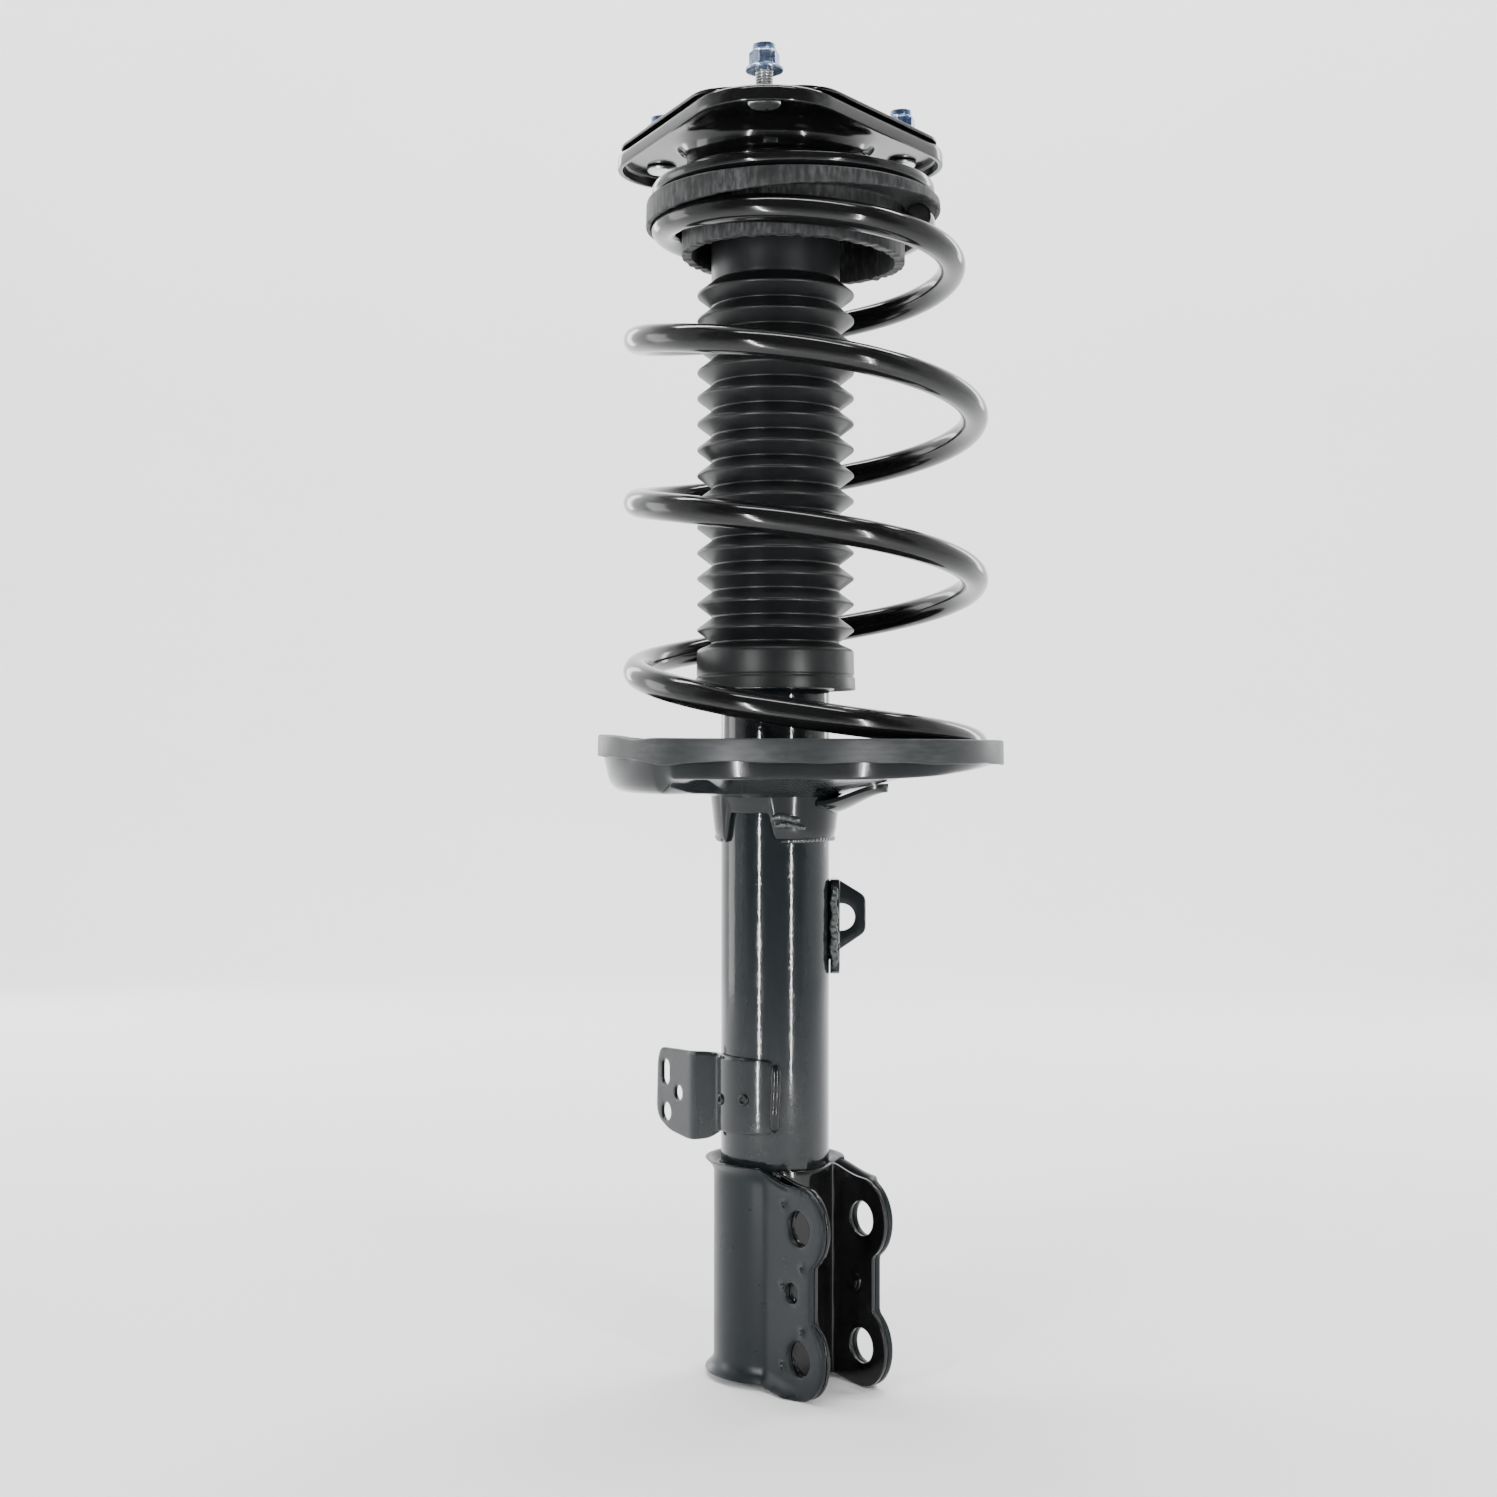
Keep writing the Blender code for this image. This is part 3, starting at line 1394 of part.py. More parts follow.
def make_link_bracket():
    """A thick angle: one leg welded along the tube, the other with the link's hole."""
    inner = TUBE_RADIUS + GAP
    outer = inner + LINK_SHEET
    front, back = LINK_DEPTHS
    low, high = LINK_HEIGHTS

    def slab(name, outline, across, start, end):
        """A flat outline in one plane, thickened along x or along y."""
        points = []
        for depth in (start, end):
            for p, z in outline:
                points.append((depth, p, z) if across == "x" else (p, depth, z))
        n = len(outline)
        faces = [tuple(range(n)), tuple(range(2 * n - 1, n - 1, -1))]
        faces += [(i, (i + 1) % n, n + (i + 1) % n, n + i) for i in range(n)]
        return mesh_object(name, points, faces)

    leg = slab(
        "link_bracket",
        [
            (front, high - 2 * MM),
            (front + 2 * MM, high),
            (back, high),
            (back, low + 8 * MM),
            (front + 8 * MM, low),
            (front + 2 * MM, low),
            (front, low + 2 * MM),
        ],
        "x",
        inner,
        outer,
    )
    arm = slab(
        "link_arm_blank",
        [
            (inner + 1 * MM, high),
            (inner + 4 * MM, high),
            (LINK_REACH, 209 * MM),
            (LINK_REACH, 192 * MM),
            (inner + 2 * MM, low + 8 * MM),
            (inner + 1 * MM, low + 8 * MM),
        ],
        "y",
        back - LINK_SHEET,
        back,
    )
    combine(leg, cutter(arm), "UNION")
    x, z, radius = LINK_HOLE
    hole = rod_between(
        "link_hole_cutter", (x, back - 12 * MM, z), (x, back + 8 * MM, z), radius
    )
    combine(leg, cutter(hole), "DIFFERENCE")
    finish(leg, "grey_paint")


clear_scene()
PARTS = new_collection("strut_assembly")
CUTTERS = new_collection("cutters")
make_damper()
make_coil()
make_lower_seat()
make_upper_seat()
make_boot()
make_mount()
make_knuckle_bracket()
make_hose_bracket()
make_link_bracket()
bpy.context.view_layer.update()
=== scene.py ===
"""Looks of a front suspension strut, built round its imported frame.

Every visible piece is a closed surface worked out with numpy. Its place comes from the
frame's boxes, and the sizes of its details are the fields of its sub-assembly's class.
Each finish is a frozen dataclass that makes one procedural material.
"""

import json
import logging
from dataclasses import dataclass, field
from enum import Enum
from math import acos, atan2, cos, degrees, hypot, pi, radians, sin, sqrt
from typing import Callable, Sequence

import bpy
import numpy as np
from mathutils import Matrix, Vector
from mathutils.geometry import delaunay_2d_cdt

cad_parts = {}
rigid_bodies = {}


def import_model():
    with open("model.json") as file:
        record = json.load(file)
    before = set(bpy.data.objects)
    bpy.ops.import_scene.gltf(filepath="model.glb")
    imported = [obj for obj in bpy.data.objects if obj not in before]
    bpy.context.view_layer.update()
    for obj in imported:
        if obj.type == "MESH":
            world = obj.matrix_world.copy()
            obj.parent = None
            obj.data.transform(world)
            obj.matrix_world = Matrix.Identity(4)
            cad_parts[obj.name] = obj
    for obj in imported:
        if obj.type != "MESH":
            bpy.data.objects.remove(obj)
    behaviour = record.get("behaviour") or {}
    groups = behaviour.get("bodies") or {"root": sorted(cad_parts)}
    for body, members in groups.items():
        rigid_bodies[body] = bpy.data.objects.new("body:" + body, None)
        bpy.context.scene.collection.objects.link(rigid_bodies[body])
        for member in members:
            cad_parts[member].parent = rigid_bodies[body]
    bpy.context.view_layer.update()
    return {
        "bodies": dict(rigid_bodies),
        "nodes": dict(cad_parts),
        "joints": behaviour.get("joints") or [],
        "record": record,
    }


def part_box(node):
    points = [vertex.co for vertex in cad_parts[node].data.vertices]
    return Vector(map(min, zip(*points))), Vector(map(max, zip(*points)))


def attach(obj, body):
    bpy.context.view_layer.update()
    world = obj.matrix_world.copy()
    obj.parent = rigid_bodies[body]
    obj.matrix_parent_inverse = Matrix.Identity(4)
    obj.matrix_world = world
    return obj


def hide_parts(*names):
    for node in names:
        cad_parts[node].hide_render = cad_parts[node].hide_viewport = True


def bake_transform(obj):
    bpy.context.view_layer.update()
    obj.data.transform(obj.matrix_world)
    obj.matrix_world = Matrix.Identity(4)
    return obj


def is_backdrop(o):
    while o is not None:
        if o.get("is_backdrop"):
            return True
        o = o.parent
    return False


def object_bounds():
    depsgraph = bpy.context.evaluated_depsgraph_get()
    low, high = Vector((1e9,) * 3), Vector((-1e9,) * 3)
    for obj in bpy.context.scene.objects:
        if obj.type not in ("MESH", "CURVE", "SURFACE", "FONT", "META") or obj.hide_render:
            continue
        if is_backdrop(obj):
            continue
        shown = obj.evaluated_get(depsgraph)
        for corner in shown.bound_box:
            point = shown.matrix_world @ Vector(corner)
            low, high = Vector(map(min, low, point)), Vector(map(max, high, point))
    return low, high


MM = 0.001
TAU = 2.0 * pi
LOG = logging.getLogger("strut")

Array = np.ndarray
Socket = bpy.types.NodeSocket
Point = Sequence[float]
Corner = tuple[Array | float, Array | float, Array | float]
Carry = Callable[[Array, Array, Array], Array]
Wave = Callable[[Array, Array, Array], tuple[Array, Array]]


class Body(Enum):
    """The three rigid bodies of the frame."""

    LOWER = "lower_strut"
    UPPER = "upper_seat"
    MOUNT = "top_mount"


# ---------------------------------------------------------------- shapes


@dataclass
class Shape:
    """A closed surface: its points, its four-cornered and its three-cornered faces."""

    points: Array
    quads: Array = field(default_factory=lambda: np.zeros((0, 4), int))
    tris: Array = field(default_factory=lambda: np.zeros((0, 3), int))

    def volume(self) -> float:
        """The sum of the signed tetrahedra from the origin to each face.

        Returns:
            The volume, which is below zero when the faces point inwards.
        """
        split = [self.tris, self.quads[:, [0, 1, 2]], self.quads[:, [0, 2, 3]]]
        a, b, c = (self.points[np.concatenate(split)[:, k]] for k in range(3))
        return float(np.einsum("ij,ij->", a, np.cross(b, c))) / 6.0

    def outward(self) -> "Shape":
        """The same surface with its faces turned outwards.

        Returns:
            The surface with its faces outwards.
        """
        if self.volume() > 0.0:
            return self
        return Shape(self.points, self.quads[:, ::-1], self.tris[:, ::-1])

    def moved(self, offset: Point) -> "Shape":
        """The same surface moved by an offset."""
        return Shape(self.points + np.asarray(offset, float), self.quads, self.tris)

    def stood(self, origin: Point, axis: Point) -> "Shape":
        """The surface turned so that its +Z lies along an axis, then moved to the origin.

        Args:
            origin: where the surface's own origin goes.
            axis: the direction that its +Z takes.

        Returns:
            The turned and moved surface.
        """
        z = np.asarray(axis, float) / np.linalg.norm(axis)
        helper = np.array([0.0, 0.0, 1.0]) if abs(z[2]) < 0.9 else np.array([1.0, 0.0, 0.0])
        x = np.cross(helper, z)
        x /= np.linalg.norm(x)
        frame = np.stack([x, np.cross(z, x), z])
        return Shape(self.points @ frame + np.asarray(origin, float), self.quads, self.tris)


def joined(shapes: Sequence[Shape]) -> Shape:
    """Several closed surfaces as one, each turned outwards first.

    Args:
        shapes: the closed surfaces.

    Returns:
        The one surface.
    """
    points, quads, tris, start = [], [], [], 0
    for shape in (s.outward() for s in shapes):
        points.append(shape.points)
        quads.append(shape.quads + start)
        tris.append(shape.tris + start)
        start += len(shape.points)
    return Shape(np.concatenate(points), np.concatenate(quads), np.concatenate(tris))


def grid_quads(rows: int, cols: int, wrap_rows: bool, wrap_cols: bool = True) -> Array:
    """Corner numbers of the faces between the points of a grid, row after row.

    Args:
        rows: rows of the grid.
        cols: points in each row.
        wrap_rows: whether the last row joins the first.
        wrap_cols: whether each row's last point joins its first.

    Returns:
        The faces, of shape (count, 4).
    """
    r = np.arange(rows if wrap_rows else rows - 1)
    c = np.arange(cols if wrap_cols else cols - 1)
    r, c = np.meshgrid(r, c, indexing="ij")
    r2, c2 = (r + 1) % rows, (c + 1) % cols
    corners = [r * cols + c, r * cols + c2, r2 * cols + c2, r2 * cols + c]
    return np.stack(corners, axis=-1).reshape(-1, 4)


def ring_shape(loops: Array) -> Shape:
    """A surface closed both ways, like a torus, from loops of shape (rows, count, 3)."""
    rows, count = loops.shape[:2]
    return Shape(loops.reshape(-1, 3), grid_quads(rows, count, True))


def capped_shape(loops: Array) -> Shape:
    """Loops joined in a row, the first and the last closed by a fan to their middle.

    Args:
        loops: the loops, of shape (rows, count, 3).

    Returns:
        The surface.
    """
    rows, count = loops.shape[:2]
    last = rows * count
    points = np.concatenate([loops.reshape(-1, 3), [loops[0].mean(0)], [loops[-1].mean(0)]])
    a = np.arange(count)
    b = (a + 1) % count
    low = np.stack([np.full(count, last), b, a], axis=-1)
    high = np.stack([np.full(count, last + 1), a + last - count, b + last - count], axis=-1)
    return Shape(points, grid_quads(rows, count, False), np.concatenate([low, high]))


def softened(corners: Array, cut: float | Array, steps: int = 3, closed: bool = True) -> Array:
    """Rounds each corner of a polyline of shape (..., count, dimensions).

    A corner P becomes the parabola (1-s)^2 (P + c a) + 2 s (1-s) P + s^2 (P + c b),
    where a and b point from P to its neighbours and c is the cut, at most 0.45 of the
    shorter side.

    Args:
        corners: the polyline's corners.
        cut: how far from each corner its rounding starts.
        steps: faces along each rounding.
        closed: whether the last corner is followed by the first.

    Returns:
        The rounded polyline, with steps + 1 points for each corner.
    """
    corners = np.asarray(corners, float)
    before = np.roll(corners, 1, axis=-2) - corners
    after = np.roll(corners, -1, axis=-2) - corners
    sizes = [np.maximum(np.linalg.norm(v, axis=-1, keepdims=True), 1e-12) for v in (before, after)]
    reach = np.minimum(np.broadcast_to(cut, corners.shape[:-1])[..., None], 0.45 * sizes[0])
    reach = np.minimum(reach, 0.45 * sizes[1])
    if not closed:
        reach = reach.copy()
        reach[..., 0, :] = 0.0
        reach[..., -1, :] = 0.0
    s = np.linspace(0.0, 1.0, steps + 1)[:, None]
    start = (corners + before / sizes[0] * reach)[..., None, :]
    end = (corners + after / sizes[1] * reach)[..., None, :]
    middle = corners[..., None, :]
    curve = (1 - s) ** 2 * start + 2 * s * (1 - s) * middle + s**2 * end
    return curve.reshape(*corners.shape[:-2], -1, corners.shape[-1])


def turned(
    profile: Array,
    steps: int = 96,
    centre: Point = (0.0, 0.0),
    closed: bool = True,
    wave: Wave | None = None,
) -> Shape:
    """A profile of (radius, height) carried round a vertical axis.

    The point (r, z) at angle a lies at (cx + r cos a, cy + r sin a, z).

    Args:
        profile: the points of the profile.
        steps: faces round the axis.
        centre: where the axis stands.
        closed: whether the profile is a closed loop; an open one is closed on the axis.
        wave: changes (r, z) at the angle a, such as for a thread or a hexagon.

    Returns:
        The closed surface.
    """
    angles = full_turn(steps)[None, :]
    r = np.repeat(np.asarray(profile, float)[:, :1], steps, axis=1)
    z = np.repeat(np.asarray(profile, float)[:, 1:], steps, axis=1)
    if wave is not None:
        r, z = wave(r, z, angles)
    loops = np.stack([centre[0] + r * np.cos(angles), centre[1] + r * np.sin(angles), z], -1)
    return ring_shape(loops) if closed else capped_shape(loops)


def ringed(corners: Sequence[Corner], turn: Array, centre: Point = (0.0, 0.0), steps: int = 3) -> Shape:
    """A ring round a vertical axis whose section may change with the angle.

    The corner (r, z) at angle a lies at (cx + r cos a, cy + r sin a, z).

    Args:
        corners: the section's corners, each (radius, height, cut in mm).
        turn: the angles.
        centre: where the axis stands.
        steps: faces along each rounded corner.

    Returns:
        The surface.
    """
    rows = [np.stack(np.broadcast_arrays(r, z, c * MM, turn)[:3], axis=-1) for r, z, c in corners]
    section = np.stack(rows, axis=1)
    section = softened(section[..., :2], section[..., 2], steps)
    x = centre[0] + section[..., 0] * np.cos(turn)[:, None]
    y = centre[1] + section[..., 0] * np.sin(turn)[:, None]
    return ring_shape(np.stack([x, y, section[..., 1]], axis=-1))


def swept(path: Array, radius: float | Array, steps: int = 20, up: Point = (0, 0, 1)) -> Shape:
    """A round section carried along a path.

    With T the path's direction, N = up x T and B = T x N, the point at angle a on the
    section lies at P + r (cos a N + sin a B). Both ends close to a point.

    Args:
        path: the path's points, of shape (count, 3).
        radius: the section's radius, one value or one for each point.
        steps: faces round the section.
        up: a direction that is never along the path.

    Returns:
        The closed surface.
    """
    along = np.gradient(path, axis=0)
    along /= np.linalg.norm(along, axis=1, keepdims=True)
    side = np.cross(np.asarray(up, float), along)
    side /= np.linalg.norm(side, axis=1, keepdims=True)
    over = np.cross(along, side)
    a = full_turn(steps)[None, :, None]
    size = np.broadcast_to(radius, len(path))[:, None, None]
    loops = path[:, None] + size * (np.cos(a) * side[:, None] + np.sin(a) * over[:, None])
    return capped_shape(loops)


def running_length(points: Array) -> Array:
    """The length along a polyline at each of its points."""
    return np.concatenate([[0.0], np.cumsum(np.linalg.norm(np.diff(points, axis=0), axis=1))])


def full_turn(count: int) -> Array:
    """This many even angles round a circle, from 0."""
    return np.linspace(0.0, TAU, count, endpoint=False)


def weld_bead(
    path: Array, radius: float, ripple: float = 1.7 * MM, up: Point = (0, 0, 1), swing: float = 0.1
) -> Shape:
    """A weld bead along a path: its radius swells with each ripple and tapers at the ends.

    At length d along a bead of length D the radius is
    r (1 + s sin(2 pi d / ripple) + 0.1 sin(d / 2.3 ripple)) (1 - |2 d / D - 1|^8)^0.5, where s
    is the swing.

    Args:
        path: the bead's middle line, of shape (count, 3).
        radius: the bead's mean radius.
        ripple: the length of one ripple.
        up: a direction that is never along the path.
        swing: the share by which each ripple swells.

    Returns:
        The surface.
    """
    length = running_length(path)
    count = max(12, int(length[-1] / ripple * 7))
    d = np.linspace(0.0, length[-1], count)
    dense = np.stack([np.interp(d, length, path[:, k]) for k in range(3)], axis=-1)
    swell = 1.0 + swing * np.sin(TAU * d / ripple) + 0.1 * np.sin(d / ripple / 2.3)
    ends = np.sqrt(np.clip(1.0 - np.abs(2.0 * d / length[-1] - 1.0) ** 8, 0.02, 1.0))
    return swept(dense, radius * swell * ends, 12, up)


def smooth_step(value: Array | float) -> Array:
    """0 below 0, 1 above 1, and 3 v^2 - 2 v^3 between."""
    value = np.clip(value, 0.0, 1.0)
    return value * value * (3.0 - 2.0 * value)


def bell(value: Array) -> Array:
    """The Gaussian bell exp(-v^2)."""
    return np.exp(-(value**2))


def arc(centre: Point, radius: float | Point, start: float, end: float, count: int = 16) -> Array:
    """Points on an arc or, with two radii, an ellipse's arc, between angles in degrees.

    Args:
        centre: the arc's middle.
        radius: its radius, or its radii along x and y.
        start: the first angle.
        end: the last angle.
        count: how many points.

    Returns:
        The points, of shape (count, 2).
    """
    a = np.radians(np.linspace(start, end, count))
    rx, ry = (radius, radius) if isinstance(radius, float) else radius
    return np.stack([centre[0] + rx * np.cos(a), centre[1] + ry * np.sin(a)], axis=-1)


def eased(outline: Array, spacing: float, width: float) -> Array:
    """A closed outline, resampled evenly and averaged with a Gaussian of the given width.

    The average is taken in the Fourier series of x + iy, where a Gaussian of width w
    multiplies the term of frequency f by exp(-2 (pi f w)^2).

    Args:
        outline: the closed outline's points.
        spacing: the distance between the new points.
        width: the Gaussian's width.

    Returns:
        The new outline's points.
    """
    closed = np.vstack([outline, outline[:1]])
    length = running_length(closed)
    count = max(24, int(length[-1] / spacing))
    d = np.linspace(0.0, length[-1], count, endpoint=False)
    line = np.interp(d, length, closed[:, 0]) + 1j * np.interp(d, length, closed[:, 1])
    frequency = np.fft.fftfreq(count, length[-1] / count)
    line = np.fft.ifft(np.fft.fft(line) * np.exp(-2.0 * (pi * frequency * width) ** 2))
    return np.stack([line.real, line.imag], axis=-1)


def inside(points: Array, loop: Array) -> Array:
    """Whether each point lies in a closed loop, by counting the sides a ray crosses.

    Args:
        points: the points, of shape (count, 2).
        loop: the closed loop's points.

    Returns:
        True for each point that lies inside.
    """
    a, b = loop, np.roll(loop, -1, axis=0)
    x, y = points[:, :1], points[:, 1:]
    spans = (a[:, 1] > y) != (b[:, 1] > y)
    rise = np.where(np.abs(b[:, 1] - a[:, 1]) < 1e-15, 1e-15, b[:, 1] - a[:, 1])
    crossing = a[:, 0] + (y - a[:, 1]) / rise * (b[:, 0] - a[:, 0])
    return (spans & (x < crossing)).sum(axis=1) % 2 == 1


@dataclass
class Blank:
    """A flat sheet blank with rounded edges and holes, which a carry bends to shape."""

    outline: Array
    thickness: float
    holes: Sequence[Array] = ()
    edge: float = 0.5 * MM
    spacing: float = 2.5 * MM
    extra: Sequence[Array] = ()

    def loops(self) -> list[Array]:
        """The outline counterclockwise and each hole clockwise.

        Returns:
            The loops, the outline first.
        """
        found = []
        for k, loop in enumerate([self.outline, *self.holes]):
            x, y = loop[:, 0], loop[:, 1]
            area = float(np.sum(x * np.roll(y, -1) - y * np.roll(x, -1)))
            found.append(loop if (area > 0.0) == (k == 0) else loop[::-1])
        return found

    def shape(self, carry: Carry) -> Shape:
        """The closed surface of the bent sheet.

        Both faces are one triangulation of the blank, drawn in from its edges by the
        edge radius. Between them each edge is a half round: out = e sin a, and the
        depth runs from T/2 - e (1 - cos a) to its mirror image.

        Args:
            carry: gives the place of (s, z, t): s and z on the blank, and t from the
                sheet's middle towards its outer face.

        Returns:
            The surface.
        """
        loops = self.loops()
        normals, inset = [], []
        for loop in loops:
            along = np.roll(loop, -1, axis=0) - np.roll(loop, 1, axis=0)
            normal = np.stack([along[:, 1], -along[:, 0]], axis=-1)
            normal /= np.linalg.norm(normal, axis=1, keepdims=True)
            normals.append(normal)
            inset.append(loop - normal * self.edge)
        flat, tris = self.face(inset)
        half = self.thickness / 2.0
        edge = min(self.edge, half)
        turn = np.radians([30.0, 60.0, 90.0])
        out = np.concatenate([np.sin(turn), np.sin(turn)[::-1]]) * self.edge
        depth = half - edge * (1.0 - np.cos(turn))
        depth = np.concatenate([depth, -depth[::-1]])
        count = len(flat)
        points = [carry(flat[:, 0], flat[:, 1], np.full(count, t)) for t in (half, -half)]
        quads, total, first = [], 2 * count, 0
        for loop, normal in zip(inset, normals):
            size = len(loop)
            rows = [np.arange(first, first + size)]
            for o, t in zip(out, depth):
                place = loop + normal * o
                points.append(carry(place[:, 0], place[:, 1], np.full(size, t)))
                rows.append(np.arange(total, total + size))
                total += size
            rows.append(np.arange(count + first, count + first + size))
            for a, b in zip(rows, rows[1:]):
                quads.append(np.stack([a, b, np.roll(b, -1), np.roll(a, -1)], axis=-1))
            first += size
        faces = np.concatenate([tris, tris[:, ::-1] + count])
        return Shape(np.concatenate(points), np.concatenate(quads), faces).outward()

    def face(self, loops: Sequence[Array]) -> tuple[Array, Array]:
        """Points and triangles of the flat face between the outline and the holes.

        Args:
            loops: the outline and the holes, turned as loops() gives them.

        Returns:
            The points, and each triangle's corner numbers.
        """
        low, high = loops[0].min(0), loops[0].max(0)
        xs = np.arange(low[0], high[0], self.spacing)
        ys = np.arange(low[1], high[1], self.spacing * 0.87)
        x, y = np.meshgrid(xs, ys)
        x = x + (np.arange(len(ys)) % 2)[:, None] * self.spacing / 2.0
        grid = np.stack([x.ravel(), y.ravel()], axis=-1)
        grid = grid[inside(grid, loops[0])]
        for loop in loops:
            away = np.linalg.norm(grid[:, None] - loop[None], axis=2).min(axis=1)
            grid = grid[away > 0.45 * self.spacing]
        for hole in loops[1:]:
            grid = grid[~inside(grid, hole)]
        if len(self.extra):
            rings = np.concatenate(list(self.extra))
            away = np.linalg.norm(grid[:, None] - rings[None], axis=2).min(axis=1)
            grid = np.concatenate([grid[away > 0.3 * self.spacing], rings])
        flat = np.concatenate([*loops, grid])
        edges, first = [], 0
        for loop in loops:
            ids = np.arange(first, first + len(loop))
            edges += np.stack([ids, np.roll(ids, -1)], axis=-1).tolist()
            first += len(loop)
        made = delaunay_2d_cdt([Vector(p) for p in flat], edges, [], 0, 1e-9)
        source = np.array([origin[0] for origin in made[3]])
        tris = source[np.array([f for f in made[2] if len(f) == 3])]
        middle = flat[tris].mean(axis=1)
        kept = inside(middle, loops[0])
        for hole in loops[1:]:
            kept &= ~inside(middle, hole)
        a, b, c = (flat[tris[kept][:, k]] for k in range(3))
        turn = (b[:, 0] - a[:, 0]) * (c[:, 1] - a[:, 1]) - (b[:, 1] - a[:, 1]) * (c[:, 0] - a[:, 0])
        tris = np.where((turn > 0.0)[:, None], tris[kept], tris[kept][:, ::-1])
        return flat, tris


class Bend:
    """A line in plan that a sheet follows, with its length and its normals."""

    def __init__(self, points: Array) -> None:
        """Measures the line.

        Args:
            points: its closely spaced points, of shape (count, 2).
        """
        self.points = points
        self.length = running_length(points)
        along = np.gradient(points, axis=0)
        along /= np.linalg.norm(along, axis=1, keepdims=True)
        self.normals = np.stack([along[:, 1], -along[:, 0]], axis=-1)

    def at(self, s: Array) -> tuple[Array, Array]:
        """The points and unit normals at lengths s.

        Args:
            s: lengths along the line.

        Returns:
            The points and the unit normals there.
        """
        place = np.stack([np.interp(s, self.length, self.points[:, k]) for k in (0, 1)], axis=-1)
        normal = np.stack([np.interp(s, self.length, self.normals[:, k]) for k in (0, 1)], axis=-1)
        return place, normal / np.linalg.norm(normal, axis=-1, keepdims=True)


def dense(points: Array, spacing: float) -> Array:
    """An open polyline resampled evenly.

    Args:
        points: the polyline's points.
        spacing: the distance between the new points.

    Returns:
        The new points.
    """
    length = running_length(points)
    d = np.linspace(0.0, length[-1], max(2, int(length[-1] / spacing)))
    return np.stack([np.interp(d, length, points[:, k]) for k in range(points.shape[1])], axis=-1)


def thread_rows(bottom: float, top: float, pitch: float) -> Array:
    """Heights along a thread, eight to each turn."""
    return np.linspace(bottom, top, max(4, int((top - bottom) / pitch * 8)))


def thread_wave(pitch: float, depth: float, bottom: float, top: float) -> Wave:
    """A right-hand thread: the radius falls by depth |2 frac(z/p - a/2pi) - 1| between ends.

    Args:
        pitch: the thread's pitch.
        depth: its depth.
        bottom: the height at which it starts.
        top: the height at which it ends.

    Returns:
        The change that turned() applies.
    """

    def wave(r: Array, z: Array, a: Array) -> tuple[Array, Array]:
        """The radius and height on the thread at the angle a."""
        turn = np.mod(z / pitch - a / TAU, 1.0)
        fade = smooth_step((z - bottom) / pitch) * smooth_step((top - z) / pitch)
        return r - depth * (1.0 - np.abs(2.0 * turn - 1.0)) * fade, z

    return wave


def hexagon_wave(width: float, low: float, high: float, turn: float = 0.0) -> Wave:
    """Between two heights the radius is at most that of a hexagon of this width.

    Args:
        width: the width across flats.
        low: the height at which the flats start.
        high: the height at which they end.
        turn: the angle by which the hexagon is turned.

    Returns:
        The change that turned() applies.
    """

    def wave(r: Array, z: Array, a: Array) -> tuple[Array, Array]:
        """The radius and height on the hexagon at the angle a."""
        part = np.mod(a - turn, TAU / 6.0) - TAU / 12.0
        flat = width / 2.0 / np.cos(part)
        within = (z > low - 1e-7) & (z < high + 1e-7)
        return np.where(within, np.minimum(r, flat), r), z

    return wave


@dataclass(frozen=True)
class Span:
    """The box of a CAD node at rest."""

    low: Array
    high: Array

    @classmethod
    def of(cls, node: str) -> "Span":
        """The span of the node with this name."""
        low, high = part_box(node)
        return cls(np.array(low), np.array(high))

    @property
    def bottom(self) -> float:
        """Its lowest height."""
        return float(self.low[2])

    @property
    def top(self) -> float:
        """Its highest height."""
        return float(self.high[2])

    @property
    def radius(self) -> float:
        """Half its width along X, which is the radius of a turned piece."""
        return float(self.high[0] - self.low[0]) / 2.0

    @property
    def centre(self) -> tuple[float, float]:
        """Its middle in plan."""
        middle = (self.low + self.high) / 2.0
        return float(middle[0]), float(middle[1])

    def ring_corners(self, inner: float) -> Array:
        """The corners of a plain ring's section, from the top outside down and inwards."""
        outer = self.radius
        return np.array([(outer, self.top), (outer, self.bottom), (inner, self.bottom), (inner, self.top)])


def tube_radius() -> float:
    """The reservoir tube's outer radius."""
    return Span.of("reservoir_tube").radius


# ---------------------------------------------------------------- finishes


